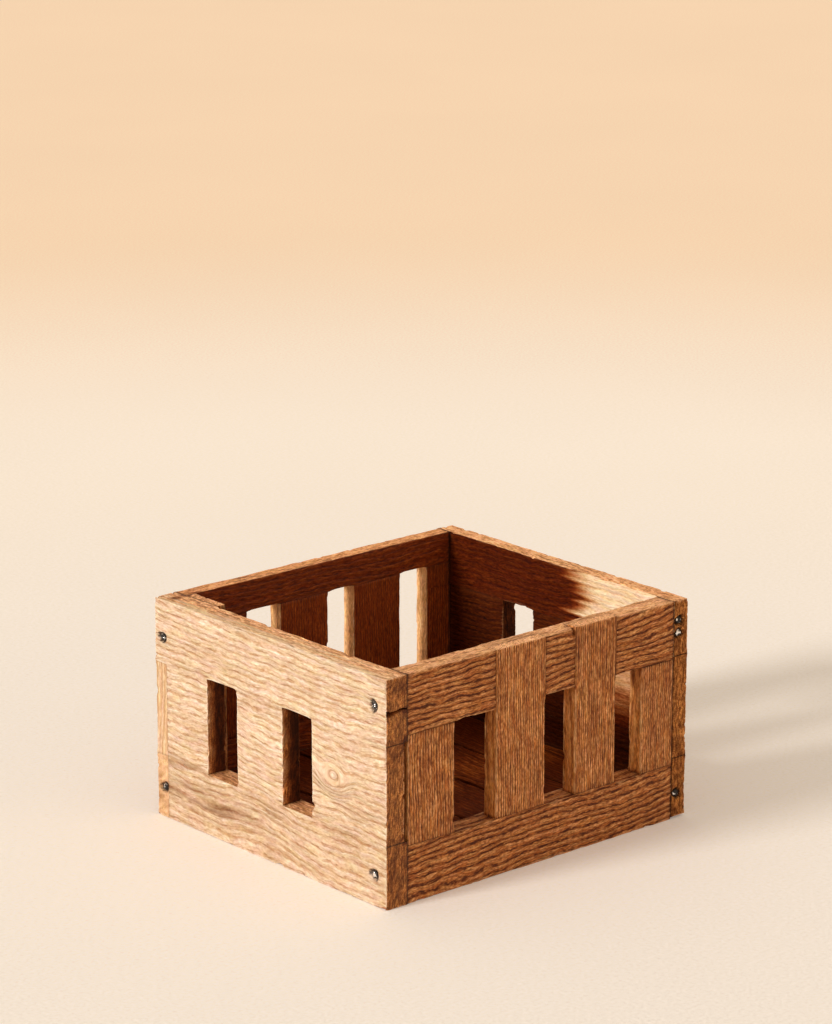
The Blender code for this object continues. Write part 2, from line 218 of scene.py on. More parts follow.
@dataclass(frozen=True)
class Brushing:
    """How far a board's surface is worn down, in mm: first the depths, then the sizes of what wears it."""

    ridge: float = 0.30
    fibre: float = 0.06
    swell: float = 0.10
    nick: float = 0.9
    patch: Triple = (16.0, 5.0, 7.0)
    fibre_reach: Triple = (7.0, 1.3, 1.3)
    swell_reach: Triple = (60.0, 22.0, 30.0)
    nick_reach: Triple = (9.0, 5.0, 5.0)
    nick_limit: float = 0.55
    nick_strip: float = 1.7
    seed: int = 11

    def sink(
        self, place: np.ndarray, rings: np.ndarray, edge: np.ndarray, joint: np.ndarray, end: np.ndarray
    ) -> np.ndarray:
        """Depth of each point below the unworn face.

        Each ring is a ridge that rises slowly and drops steeply into a groove, and is low on end grain.
        Fine fibres and a slow swell lower the rest, and nicks bite where a noise passes a limit close to
        an open edge.

        Args:
            place: points along the grain, out across the rings and into the board, in mm.
            rings: number of rings at each point.
            edge: distance from the nearest edge, in mm.
            joint: distance from the nearest neighbour, in mm.
            end: how far each point lies on end grain, from 0 to 1.

        Returns:
            The depths in mm.
        """
        share = rings - np.floor(rings)
        ridge = eased(share, 0.0, 0.55) * eased(share, 1.0, 0.74)
        height = 0.65 + 0.35 * Ripple(self.seed, self.patch).at(place)
        fibre = 0.5 + 0.5 * Ripple(self.seed + 1, self.fibre_reach).at(place)
        swell = 0.5 + 0.5 * Ripple(self.seed + 2, self.swell_reach).at(place)
        bite = np.clip(Ripple(self.seed + 3, self.nick_reach).at(place) - self.nick_limit, 0, None)
        near = np.exp(-((edge / self.nick_strip) ** 2)) * eased(joint, 0.8, 3.0)
        worn = 1 - ridge * np.clip(height, 0, 1)
        depth = self.ridge * (1 - 0.8 * end) * worn + self.fibre * fibre + self.swell * swell
        return np.clip(depth, 0, None) + self.nick * bite * near


# Boards


@dataclass(frozen=True)
class Step:
    """A stretch of a board where its section is smaller, such as a tenon, a halving or a housing.

    low and high say how far the board's lower and upper sides move in, in metres along X, Y and Z. within
    limits the step to a stretch along a second axis. A hidden step lies inside another board.
    """

    axis: Axis
    start: float
    end: float
    low: Triple = (0.0, 0.0, 0.0)
    high: Triple = (0.0, 0.0, 0.0)
    within: tuple[Axis, float, float] | None = None
    hidden: bool = False


@dataclass(frozen=True)
class Mortise:
    """A rectangular recess in one face of a board, in metres."""

    axis: Axis
    side: Side
    low: Triple
    high: Triple
    depth: float


@dataclass(frozen=True)
class NailSeat:
    """The crushed hollow round a nail's head, in metres. Its rim and its flat are shares of its radius."""

    axis: Axis
    side: Side
    centre: Triple
    radius: float
    depth: float = 0.00125
    rim: float = 1.75
    flat: float = 1.25
    line_reach: float = 1.9
    line_count: int = 13

    def away(self, points: np.ndarray) -> np.ndarray:
        """Distance of each point from the nail's axis, made uneven round it.

        Args:
            points: places in metres.

        Returns:
            The distances in metres.
        """
        arm = np.delete(points - np.array(self.centre), self.axis.value, axis=1)
        turn = np.arctan2(arm[:, 1], arm[:, 0])
        start = 900.0 * sum(self.centre)
        uneven = 1 + 0.14 * np.sin(2 * turn + start) + 0.10 * np.sin(3 * turn + 2.1 * start)
        return np.linalg.norm(arm, axis=1) * uneven

    def sink(self, points: np.ndarray) -> np.ndarray:
        """Depth at each point: full under the head, easing to nothing past its rim."""
        return self.depth * eased(self.away(points), self.rim * self.radius, self.flat * self.radius)

    def lines(self, axis: Axis) -> np.ndarray:
        """Close lattice lines across the hollow.

        Args:
            axis: the axis that the lines are asked for.

        Returns:
            Their places along it, in metres.
        """
        if axis is self.axis:
            return np.empty(0)
        spread = np.linspace(-self.line_reach, self.line_reach, self.line_count)
        return self.centre[axis.value] + spread * self.radius


@dataclass(frozen=True)
class Crack:
    """A drying split across the end of a board, in metres. It is widest at its mouth, a place along X."""

    axis: Axis
    side: Side
    level: float
    mouth: float
    half_width: float = 0.0011
    reach: float = 0.012
    depth: float = 0.0045
    sway: float = 0.0007
    sway_rate: float = 420.0
    widest: float = 1.6
    narrowing: float = 1.2
    line_reach: float = 2.0
    line_count: int = 17

    def sink(self, points: np.ndarray) -> np.ndarray:
        """Depth at each point: deepest in the middle of a slowly bending line and nothing at its lips.

        Args:
            points: places in metres.

        Returns:
            The depths in metres.
        """
        middle = self.level + self.sway * np.sin(points[:, 0] * self.sway_rate)
        along = np.clip((points[:, 0] - self.mouth) / self.reach, 0, 1)
        taper = self.widest - self.narrowing * along
        away = np.abs(points[:, 2] - middle) / (self.half_width * taper)
        return self.depth * np.sqrt(np.clip(1 - away, 0, 1))

    def painted_shade(self, points: np.ndarray, out: np.ndarray) -> np.ndarray:
        """Painted shade inside the split, as a loss of tone from 0 to 1."""
        return self.sink(points) / self.depth * (out[:, self.axis.value] * self.side.value > 0.9)

    def lines(self, axis: Axis) -> np.ndarray:
        """Close lattice lines across the split.

        Args:
            axis: the axis that the lines are asked for.

        Returns:
            Their places along it, in metres.
        """
        if axis is not Axis.Z:
            return np.empty(0)
        spread = np.linspace(-self.line_reach, self.line_reach, self.line_count)
        return self.level + spread * self.half_width


def lattice_lines(low: float, high: float, step: float, ease: float, fixed: list[float]) -> np.ndarray:
    """Places of a board's lattice lines along one axis.

    Args:
        low: the board's lower side, in metres.
        high: its upper side.
        step: distance between two lines on the open face.
        ease: radius of the rounded edges.
        fixed: further places of lines, such as both sides of a shoulder.

    Returns:
        The sorted places: even steps, five lines round each edge and the fixed ones.
    """
    arc = ease * (1 - np.tan(np.radians(EDGE_TURNS)))
    kept = np.concatenate([low + arc, high - arc, [place for place in fixed if low < place < high]])
    count = max(2, round((high - low - 2 * ease) / step) + 1)
    even = np.linspace(low + ease, high - ease, count)
    clear = np.abs(even[:, None] - kept[None, :]).min(axis=1) > 0.2 * step
    lines = np.unique(np.concatenate([kept, even[clear]]))
    return lines[np.concatenate([[True], np.diff(lines) > SAME_PLACE])]


def shell(lines: list[np.ndarray]) -> tuple[np.ndarray, np.ndarray]:
    """Closed surface of a box lattice.

    Args:
        lines: places of the lattice lines along X, Y and Z.

    Returns:
        The points on the surface, each once, and the quads between them, facing out.
    """
    sizes = [len(line) for line in lines]
    grid = np.indices(sizes)
    skin = np.zeros(sizes, bool)
    for axis, size in enumerate(sizes):
        skin |= (grid[axis] == 0) | (grid[axis] == size - 1)
    index = np.full(sizes, -1)
    index[skin] = np.arange(skin.sum())
    points = np.stack([line[steps[skin]] for line, steps in zip(lines, grid)], axis=1)
    quads = []
    for axis in range(3):
        for side in (0, -1):
            sheet = np.take(index, side, axis=axis)
            corners = [sheet[:-1, :-1], sheet[1:, :-1], sheet[1:, 1:], sheet[:-1, 1:]]
            faces = np.stack(corners, axis=-1).reshape(-1, 4)
            turned = (side == 0) != (axis == 1)
            quads.append(faces[:, ::-1] if turned else faces)
    return points, np.concatenate(quads)


@dataclass(frozen=True)
class Blotch:
    """A darker or paler cloud in a board: its centre and reach in metres, and its change of tone."""

    centre: Triple
    reach: Triple
    change: float

    def at(self, points: np.ndarray) -> np.ndarray:
        """Change of tone at each point: a bell curve round the centre."""
        away = (points - np.array(self.centre)) / np.array(self.reach)
        return self.change * np.exp(-(away**2).sum(axis=1))


# Dark stain where the rim's boards meet in the back left corner
CORNER_STAIN = Blotch((-0.0970, 0.0905, 0.1300), (0.0065, 0.0024, 0.0030), -2.6)


@dataclass(frozen=True)
class PaintedSun:
    """Share of painted sunlight on a board, from 0 to 1: a paler, sunlit colour painted where the low light
    from the left falls.

    face is the share on the faces towards -X, which face the light. reveal is the share at the outer lip of
    the faces that cross the wall, which fades inwards, unevenly, as painted sunlight on the lit lips of the
    slots. crown is the same on the upper face. patch limits the share of the face to a stretch along Y, as a
    painted pool of sunlight: it is full at its first place and fades to the rest share at its second. fall
    fades the patch the same way between two heights. The borders sway, and the reaches give the wavelengths
    of their sway in mm.
    """

    face: float = 0.0
    reveal: float = 0.0
    lip: float = 0.007
    sway: float = 0.0022
    patch_sway: float = 0.010
    patch_reach: Triple = (24.0, 70.0, 5.0)
    lip_reach: Triple = (9.0, 26.0, 14.0)
    crown_reach: Triple = (3.5, 26.0, 9.0)
    crown: float = 0.0
    patch: tuple[float, float] | None = None
    fall: tuple[float, float] = (-1.0, -2.0)
    rest: float = 0.2
    seeds: tuple[int, int, int] = (3, 9, 15)

    def share(self, points: np.ndarray, out: np.ndarray, low: Triple, facing: np.ndarray) -> np.ndarray:
        """Share of painted sunlight at each point.

        Args:
            points: places on the board before it is worn.
            out: their outward directions.
            low: the board's lowest corner.
            facing: 1 on the face towards -X and 0 elsewhere.

        Returns:
            The shares, from 0 to 1.
        """
        share = self.face * facing
        if self.patch:
            sway = self.patch_sway * Ripple(self.seeds[0], self.patch_reach).at(points / MM)
            patch = eased(points[:, 1] + sway, self.patch[1], self.patch[0])
            patch *= eased(points[:, 2] + 0.4 * sway, self.fall[1], self.fall[0])
            share *= self.rest + (1 - self.rest) * patch
        ends = eased(np.abs(points[:, 1]), cad_box[1][1] - 0.0015, cad_box[1][1] - 0.0005)
        depth = points[:, 0] - low[0]
        inwards = depth + self.sway * Ripple(self.seeds[1], self.lip_reach).at(points / MM)
        lip = self.reveal * eased(inwards, self.lip, 0.0) * (1 - ends) * eased(out[:, 2], 0.9, 0.7)
        streaks = depth + 2 * self.sway * Ripple(self.seeds[2], self.crown_reach).at(points / MM)
        crown = self.crown * eased(streaks, 2 * self.lip, 0.0) * eased(out[:, 2], 0.5, 0.9)
        return np.maximum(np.maximum(share, lip), crown)


@dataclass(frozen=True)
class Board:
    """One piece of timber, worked out from its node's box in the frame.

    grain is the axis that the grain follows and through is the axis of the board's thickness. inward points
    to the crate's inside. shift moves the board in the tree, in mm, so that no two boards look alike.
    sun says how much painted sunlight its faces take, slot_dirt how much painted shade darkens the walls of
    its slots past their outer lip, and slot_lip how wide that lip is, in metres. slot_zone says how far from
    the middle of the wall that painted shade reaches, along Y and Z. enclosed says how far all its faces
    count as inner ones, which take painted shade, and worn_top how far its upper face is rubbed as the
    crate's rim is. swollen says how far it has grown towards its neighbours, as a share of the gap to them.
    """

    node: str
    slot: Slot
    low: Triple
    high: Triple
    grain: Axis
    through: Axis
    growth: Growth
    brushing: Brushing = Brushing()
    inward: Triple = (0.0, 0.0, 0.0)
    shift: Triple = (0.0, 0.0, 0.0)
    sun: PaintedSun = PaintedSun()
    tone: float = 0.0
    cloudy: float = 0.05
    cloud_reach: Triple = (60.0, 14.0, 30.0)
    streak_reach: Triple = (45.0, 4.0, 12.0)
    slot_dirt: float = 0.0
    slot_lip: float = 0.0075
    slot_zone: tuple[float, float] = (0.098, 0.06)
    enclosed: float = 0.0
    worn_top: float = 0.0
    swollen: float = 0.35
    open_ease: float = 0.0010
    joint_ease: float = 0.00014
    along_step: float = 0.0015
    cross_step: float = 0.0004
    steps: tuple[Step, ...] = ()
    mortises: tuple[Mortise, ...] = ()
    hollows: tuple[NailSeat | Crack, ...] = ()
    blotches: tuple[Blotch, ...] = ()

    def lines(self) -> list[np.ndarray]:
        """Lattice lines along X, Y and Z.

        Returns:
            Their places along each axis, in metres.
        """
        out = []
        for axis in Axis:
            spans = [(step.axis, step.start, step.end) for step in self.steps]
            spans += [step.within for step in self.steps if step.within]
            ends = [end for along, *both in spans if along is axis for end in both]
            for mortise in self.mortises:
                if mortise.axis is not axis:
                    ends += [mortise.low[axis.value], mortise.high[axis.value]]
            fixed = [end + half for end in ends for half in (-PAIR / 2, PAIR / 2)]
            for hollow in self.hollows:
                fixed += list(hollow.lines(axis))
            low, high = self.low[axis.value], self.high[axis.value]
            step = self.along_step if axis is self.grain else self.cross_step
            out.append(lattice_lines(low, high, step, self.open_ease, fixed))
        return out

    def solids(self) -> list[Box]:
        """Boxes that the board fills outside its neighbours: its full section, and each smaller one.

        Returns:
            The lowest and highest corner of each box.
        """
        low, high = np.array(self.low), np.array(self.high)
        steps = sorted((step for step in self.steps if step.within is None), key=lambda step: step.start)
        boxes = []
        place = steps[0].axis.value if steps else 0
        reached = low[place]
        for step in steps:
            start, end = low.copy(), high.copy()
            start[place], end[place] = reached, step.start
            boxes.append((start, end))
            if not step.hidden:
                start, end = low + np.array(step.low), high - np.array(step.high)
                start[place], end[place] = step.start, min(step.end, high[place])
                boxes.append((start, end))
            reached = step.end
        start = low.copy()
        start[place] = reached
        boxes.append((start, high))
        return [box for box in boxes if np.all(box[1] - box[0] > 0.1 * MM)]

    def in_grain(self, points: np.ndarray) -> np.ndarray:
        """Places in mm along the grain, across it and into the board."""
        across = 3 - self.grain.value - self.through.value
        return points[:, [self.grain.value, across, self.through.value]] / MM + np.array(self.shift)

    def rounded(self, points: np.ndarray, joint: np.ndarray) -> tuple[np.ndarray, np.ndarray]:
        """Points with their edges rounded, and their outward directions.

        Each point goes to the nearest point of a smaller box inside the board, and from there out by the
        radius of the edge, which is small at a joint, larger in the open and wanders along the board.

        Args:
            points: places on the board's box.
            joint: distance from the nearest neighbour, in mm.

        Returns:
            The rounded points and their outward directions.
        """
        radius = self.joint_ease + (self.open_ease - self.joint_ease) * eased(joint, 1.0, 4.0)
        radius = (radius * (0.78 + 0.22 * Ripple(5, (23.0, 23.0, 23.0)).at(points / MM)))[:, None]
        core = np.clip(points, np.array(self.low) + radius, np.array(self.high) - radius)
        out = points - core
        out /= np.linalg.norm(out, axis=1)[:, None]
        return core + out * radius, out

    def edge_distance(self, points: np.ndarray) -> np.ndarray:
        """Distance of each point of the surface from the nearest edge, in mm."""
        to_sides = np.minimum(points - np.array(self.low), np.array(self.high) - points)
        return np.sort(to_sides, axis=1)[:, 1] / MM

    def nail_distance(self, points: np.ndarray, out: np.ndarray) -> np.ndarray:
        """Distance of each point from the nearest nail's axis in its face, in mm.

        Args:
            points: places on the board before it is worn.
            out: their outward directions.

        Returns:
            The distances, which are at most FAR.
        """
        nearest = np.full(len(points), FAR)
        for seat in (hollow for hollow in self.hollows if isinstance(hollow, NailSeat)):
            on_face = out[:, seat.axis.value] * seat.side.value > 0.5
            nearest = np.where(on_face, np.minimum(nearest, seat.away(points) / MM), nearest)
        return nearest

    def recessed(self, flat: np.ndarray, shaped: np.ndarray, out: np.ndarray) -> np.ndarray:
        """Shaped points with mortises, nail seats and cracks sunk into the faces that hold them.

        Args:
            flat: places on the board before it is worn.
            shaped: the same points, rounded and worn.
            out: their outward directions.

        Returns:
            The shaped points.
        """
        for cut in self.mortises + self.hollows:
            place, sign = cut.axis.value, cut.side.value
            on_face = out[:, place] * sign > 0.9
            if isinstance(cut, Mortise):
                inside = (flat > np.array(cut.low)) & (flat < np.array(cut.high))
                inside[:, place] = True
                depth = cut.depth * inside.all(axis=1)
            else:
                depth = cut.sink(flat)
            shaped[:, place] -= sign * depth * on_face
        return shaped

    def narrowed(self, flat: np.ndarray, shaped: np.ndarray) -> np.ndarray:
        """Shaped points drawn in where the section is smaller.

        On such a stretch, both sides move in by their steps, and what lies between them moves in proportion.

        Args:
            flat: places on the board before it is worn.
            shaped: the same points, shaped so far.

        Returns:
            The shaped points.
        """
        low, high = np.array(self.low), np.array(self.high)
        for step in self.steps:
            run = step.axis.value
            inside = (flat[:, run] > step.start) & (flat[:, run] < step.end)
            if step.within:
                second, start, end = step.within
                inside &= (flat[:, second.value] > start) & (flat[:, second.value] < end)
            for place in (axis.value for axis in Axis if axis is not step.axis):
                share = (flat[:, place] - low[place]) / (high[place] - low[place])
                moved = step.low[place] * (1 - share) - step.high[place] * share
                shaped[:, place] += np.where(inside, moved, 0.0)
        return shaped

    def facing(self, side: Triple, flat: np.ndarray, out: np.ndarray, hidden: np.ndarray) -> np.ndarray:
        """How far each point belongs to the face that looks a given way, from 0 to 1.

        The edge at a neighbour and a strip of the joint behind it belong to the face too, so that no line
        shows between two flush boards.

        Args:
            side: outward direction of the face.
            flat: places on the board before it is worn.
            out: their outward directions.
            hidden: how far each point looks at a close neighbour.

        Returns:
            The share of each point.
        """
        axis = int(np.argmax(np.abs(side)))
        level = self.high[axis] if side[axis] > 0 else self.low[axis]
        behind = eased(np.abs(flat[:, axis] - level), 0.0022, 0.0010) * eased(hidden, 0.3, 0.6)
        return np.maximum(eased(out @ np.array(side), 0.2, 0.75), behind)

    def dirt(self, flat: np.ndarray, out: np.ndarray) -> np.ndarray:
        """Painted shade on the faces across the wall, as a loss of tone: none at their outer lip and full
        some way in.

        Args:
            flat: places on the board before it is worn.
            out: their outward directions.

        Returns:
            The loss at each point, from 0 to 1.
        """
        outer = self.low[0] if self.inward[0] > 0 else self.high[0]
        deep = eased(np.abs(flat[:, 0] - outer), 0.2 * self.slot_lip, self.slot_lip)
        across = eased(np.abs(out[:, 0]), 0.6, 0.2) * eased(out[:, 2], 0.6, 0.2)
        within = np.all(np.abs(flat[:, 1:] - [0.0, cad_box[1][2] / 2]) < self.slot_zone, axis=1)
        return self.slot_dirt * deep * across * within

    def build(self, neighbours: "Neighbours") -> bpy.types.Object:
        """Mesh object of the board, with what its finish needs kept as attributes.

        Args:
            neighbours: the solid parts of every board.

        Returns:
            The object.
        """
        flat, quads = shell(self.lines())
        place = self.in_grain(flat)
        rings = self.growth.rings(place)
        place[:, 1] = rings * self.growth.ring
        edge = self.edge_distance(flat)
        reached = self.narrowed(flat, flat.copy())
        way, joint = neighbours.nearest(reached, self.node)
        corner = neighbours.nearest(reached, self.node, other_walls=True)[1]
        shaped, out = self.rounded(flat, np.minimum(joint, flat[:, 2] / MM))
        end = eased(np.abs(out[:, self.grain.value]), 0.5, 0.9)
        toward = way / (np.linalg.norm(way, axis=1)[:, None] + 1e-9)
        hidden = (out * toward).sum(axis=1) * eased(joint, *MEETING)
        open_way = out - toward * hidden[:, None]
        open_way /= np.maximum(np.linalg.norm(open_way, axis=1), 0.3)[:, None]
        shaped -= open_way * self.brushing.sink(place, rings, edge, joint, end)[:, None] * MM
        shaped = self.recessed(flat, shaped, out)
        shaped = self.narrowed(flat, shaped) + way * (self.swollen * eased(joint, *MEETING))[:, None]
        tone = 1 + self.tone + self.cloudy * Ripple(self.growth.seed + 7, self.cloud_reach).at(place)
        streaks = 0.9 + 0.9 * Ripple(self.growth.seed + 8, self.streak_reach).at(place)
        streaks = np.clip(streaks, 0.0, 2.0)
        for blotch in self.blotches:
            tone += blotch.at(flat) * streaks
        # Painted shade: the walls of the slots lose tone deep inside
        tone = np.clip(tone, 0.3, 3.0) * (1 - self.dirt(flat, out))
        # Painted shade inside each split
        for split in (hollow for hollow in self.hollows if isinstance(hollow, Crack)):
            tone *= 1 - 0.92 * split.painted_shade(flat, out)
        mesh = surface_mesh(self.node + "_board", shaped, quads)
        keep(mesh, "rings", rings)
        keep(mesh, "grain_place", place)
        keep(mesh, "edge", edge)
        keep(mesh, "joint", joint)
        keep(mesh, "corner", corner)
        keep(mesh, "nail", self.nail_distance(flat, out))
        keep(mesh, "tone", tone)
        keep(mesh, "end_grain", end)
        # Inner faces take painted shade in the finish, and faces towards -X take painted sunlight
        inside, sun_side = (self.facing(side, flat, out, hidden) for side in (self.inward, PAINTED_SUN_SIDE))
        keep(mesh, "inside", np.maximum(inside, self.enclosed))
        keep(mesh, "painted_sunlight", self.sun.share(flat, out, self.low, sun_side))
        highest = eased(flat[:, 2], cad_box[1][2] - 0.002, cad_box[1][2] - 0.001)
        keep(mesh, "rim", eased(out[:, 2], 0.5, 0.9) * np.maximum(highest, self.worn_top))
        return add_piece(self.node + "_board", mesh)


class Neighbours:
    """The solid parts of every board, for finding where a board meets the others."""

    def __init__(self, boards: list[Board]) -> None:
        """Collect the boards' boxes and walls."""
        self.parts = {board.node: board.solids() for board in boards}
        self.walls = {board.node: board.slot for board in boards}

    def nearest(
        self, points: np.ndarray, node: str, other_walls: bool = False
    ) -> tuple[np.ndarray, np.ndarray]:
        """Way to the nearest board but the point's own, in metres.

        Args:
            points: places on the surface of a board.
            node: the node of that board.
            other_walls: leave out the boards of its own wall.

        Returns:
            The way from each point, and its length in mm, which is at most FAR.
        """
        way = np.zeros_like(points)
        length = np.full(len(points), FAR)
        first, last = points.min(axis=0) - FAR * MM, points.max(axis=0) + FAR * MM
        for other, boxes in self.parts.items():
            if other == node or (other_walls and self.walls[other] is self.walls[node]):
                continue
            for low, high in boxes:
                if np.any(low > last) or np.any(high < first):
                    continue
                step = np.clip(points, low, high) - points
                away = np.linalg.norm(step, axis=1) / MM
                closer = away < length
                way[closer] = step[closer]
                length[closer] = away[closer]
        return way, length


def surface_mesh(name: str, points: np.ndarray, faces: np.ndarray) -> bpy.types.Mesh:
    """Smooth shaded mesh of points in metres and faces of one size.

    Args:
        name: name of the mesh.
        points: its points.
        faces: numbers of each face's points.

    Returns:
        The mesh.
    """
    mesh = bpy.data.meshes.new(name)
    mesh.vertices.add(len(points))
    mesh.vertices.foreach_set("co", points.astype(np.float32).ravel())
    size = faces.shape[1]
    mesh.loops.add(faces.size)
    mesh.loops.foreach_set("vertex_index", faces.astype(np.int32).ravel())
    mesh.polygons.add(len(faces))
    mesh.polygons.foreach_set("loop_start", np.arange(0, faces.size, size, dtype=np.int32))
    mesh.update(calc_edges=True)
    mesh.shade_smooth()
    return mesh


def ring_faces(rings: int, around: int) -> np.ndarray:
    """Triangles between rings of points that are numbered one ring after the other.

    Args:
        rings: number of rings.
        around: number of points in each ring.

    Returns:
        Two triangles for each pair of points that follow each other in a ring.
    """
    step = np.arange(around)
    after = (step + 1) % around
    rows = np.arange(rings - 1)[:, None] * around
    one, two = (rows + step).ravel(), (rows + after).ravel()
    three, four = two + around, one + around
    return np.concatenate([np.stack([one, two, three], axis=1), np.stack([one, three, four], axis=1)])


def keep(mesh: bpy.types.Mesh, name: str, values: np.ndarray) -> None:
    """Keep one number or one vector for each point of a mesh, for its finish to read.

    Args:
        mesh: the mesh.
        name: name of the attribute.
        values: its value at each point.
    """
    vector = values.ndim == 2
    attribute = mesh.attributes.new(name, "FLOAT_VECTOR" if vector else "FLOAT", "POINT")
    attribute.data.foreach_set("vector" if vector else "value", values.astype(np.float32).ravel())


def add_piece(name: str, data: bpy.types.ID) -> bpy.types.Object:
    """Object at the origin with the given mesh, light or camera.

    Args:
        name: name of the object.
        data: what it holds.

    Returns:
        The object.
    """
    piece = bpy.data.objects.new(name, data)
    bpy.context.scene.collection.objects.link(piece)
    return piece


# Shader nodes


class Bench:
    """Short words for laying out the nodes of one shader tree."""

    def __init__(self, tree: bpy.types.NodeTree) -> None:
        """Work in the given tree."""
        self.tree = tree

    def plug(self, value: object, socket: bpy.types.NodeSocket) -> None:
        """Link a socket, or set its value.

        Args:
            value: another socket, a number or a vector.
            socket: the socket that takes it.
        """
        if isinstance(value, bpy.types.NodeSocket):
            self.tree.links.new(value, socket)
        else:
            socket.default_value = value

    def node(self, kind: str, inputs: dict | None = None, **settings: object) -> bpy.types.Node:
        """New node with its settings and inputs.

        Args:
            kind: type of the node.
            inputs: what each input is given.
            **settings: the node's own settings.

        Returns:
            The node.
        """
        node = self.tree.nodes.new(kind)
        for name, value in settings.items():
            setattr(node, name, value)
        for key, value in (inputs or {}).items():
            self.plug(value, node.inputs[key])
        return node

    def math(self, operation: str, first: object, second: object = 0.0) -> bpy.types.NodeSocket:
        """Math node of one or two values."""
        return self.node("ShaderNodeMath", {0: first, 1: second}, operation=operation).outputs[0]

    def times(self, first: object, second: object) -> bpy.types.NodeSocket:
        """Product of two values."""
        return self.math("MULTIPLY", first, second)

    def plus(self, first: object, second: object) -> bpy.types.NodeSocket:
        """Sum of two values."""
        return self.math("ADD", first, second)

    def minus(self, first: object, second: object) -> bpy.types.NodeSocket:
        """Difference of two values."""
        return self.math("SUBTRACT", first, second)

    def smooth(self, value: object, start: object, end: object) -> bpy.types.NodeSocket:
        """0 before start, 1 after end and a smooth step between them."""
        inputs = {"Value": value, "From Min": start, "From Max": end}
        return self.node("ShaderNodeMapRange", inputs, interpolation_type="SMOOTHSTEP").outputs[0]

    def mix(self, share: object, first: object, second: object, blend: str = "MIX") -> bpy.types.NodeSocket:
        """Mix of two colours."""
        inputs = {0: share, 6: first, 7: second}
        return self.node("ShaderNodeMix", inputs, data_type="RGBA", blend_type=blend).outputs[2]

    def combined(self, parts: list) -> bpy.types.NodeSocket:
        """Colour of a red, a green and a blue part."""
        return self.node("ShaderNodeCombineColor", dict(enumerate(parts))).outputs[0]

    def powers(self, value: object, powers: Triple) -> bpy.types.NodeSocket:
        """Colour whose parts are powers of one value."""
        return self.combined([self.math("POWER", value, power) for power in powers])

    def tinted(self, colour: object, gains: object) -> bpy.types.NodeSocket:
        """Product of two colours."""
        return self.mix(1.0, colour, gains, "MULTIPLY")

    def either(self, share: object, first: float, second: float) -> bpy.types.NodeSocket:
        """Number between two numbers, by a share."""
        return self.plus(self.times(share, second - first), first)

    def noise(self, place: object, stretch: Triple, detail: float = 2.0) -> bpy.types.NodeSocket:
        """Noise from 0 to 1 at a place multiplied by a vector.

        Args:
            place: vector socket.
            stretch: what it is multiplied by.
            detail: layers of finer noise.

        Returns:
            The noise.
        """
        scaled = self.node("ShaderNodeVectorMath", {0: place, 1: stretch}, operation="MULTIPLY").outputs[0]
        inputs = {"Vector": scaled, "Scale": 1.0, "Detail": detail, "Roughness": 0.55}
        return self.node("ShaderNodeTexNoise", inputs).outputs[0]

    def value(self, name: str) -> bpy.types.NodeSocket:
        """Number kept on the mesh."""
        return self.node("ShaderNodeAttribute", attribute_name=name).outputs["Fac"]

    def bump(self, height: object, distance: float, shader: bpy.types.Node) -> None:
        """Bump of a height, plugged into a shader."""
        inputs = {"Height": height, "Distance": distance, "Strength": 1.0}
        self.plug(self.node("ShaderNodeBump", inputs).outputs[0], shader.inputs["Normal"])

    def group(self, tree: bpy.types.NodeTree, inputs: dict) -> dict:
        """Outputs of a shared group placed here.

        Args:
            tree: the group's tree.
            inputs: what each input is given.

        Returns:
            The outputs by name.
        """
        node = self.tree.nodes.new("ShaderNodeGroup")
        node.node_tree = tree
        for key, value in inputs.items():
            self.plug(value, node.inputs[key])
        return node.outputs


def principled(name: str) -> tuple[bpy.types.Material, Bench, bpy.types.Node]:
    """New material with a Principled shader.

    Args:
        name: name of the material.

    Returns:
        The material, the bench of its tree and its shader.
    """
    material = bpy.data.materials.new(name)
    material.use_nodes = True
    return material, Bench(material.node_tree), material.node_tree.nodes["Principled BSDF"]


class Socket(Enum):
    """Kinds of socket that a shared group may have."""

    FLOAT = "NodeSocketFloat"
    VECTOR = "NodeSocketVector"
    COLOUR = "NodeSocketColor"

    @classmethod
    def floats(cls, *names: str) -> dict[str, "Socket"]:
        """A plain number for each name."""
        return {name: cls.FLOAT for name in names}

    @classmethod
    def colours(cls, *names: str) -> dict[str, "Socket"]:
        """A colour for each name."""
        return {name: cls.COLOUR for name in names}


class SharedGroup:
    """A shader node group with named inputs and outputs."""

    def __init__(self, name: str, inputs: dict[str, Socket], outputs: dict[str, Socket]) -> None:
        """Make the group's tree and its sockets.

        Args:
            name: name of the group.
            inputs: kind of each input.
            outputs: kind of each output.
        """
        self.tree = bpy.data.node_groups.new(name, "ShaderNodeTree")
        for label, kind in inputs.items():
            self.tree.interface.new_socket(name=label, in_out="INPUT", socket_type=kind.value)
        for label, kind in outputs.items():
            self.tree.interface.new_socket(name=label, in_out="OUTPUT", socket_type=kind.value)
        self.bench = Bench(self.tree)
        self.given = self.bench.node("NodeGroupInput").outputs
        self.out = self.bench.node("NodeGroupOutput").inputs

    def give(self, **values: bpy.types.NodeSocket) -> bpy.types.NodeTree:
        """Link each value to the output of its name.

        Args:
            **values: the sockets to put out.

        Returns:
            The group's tree.
        """
        for name, value in values.items():
            self.bench.plug(value, self.out[name])
        return self.tree


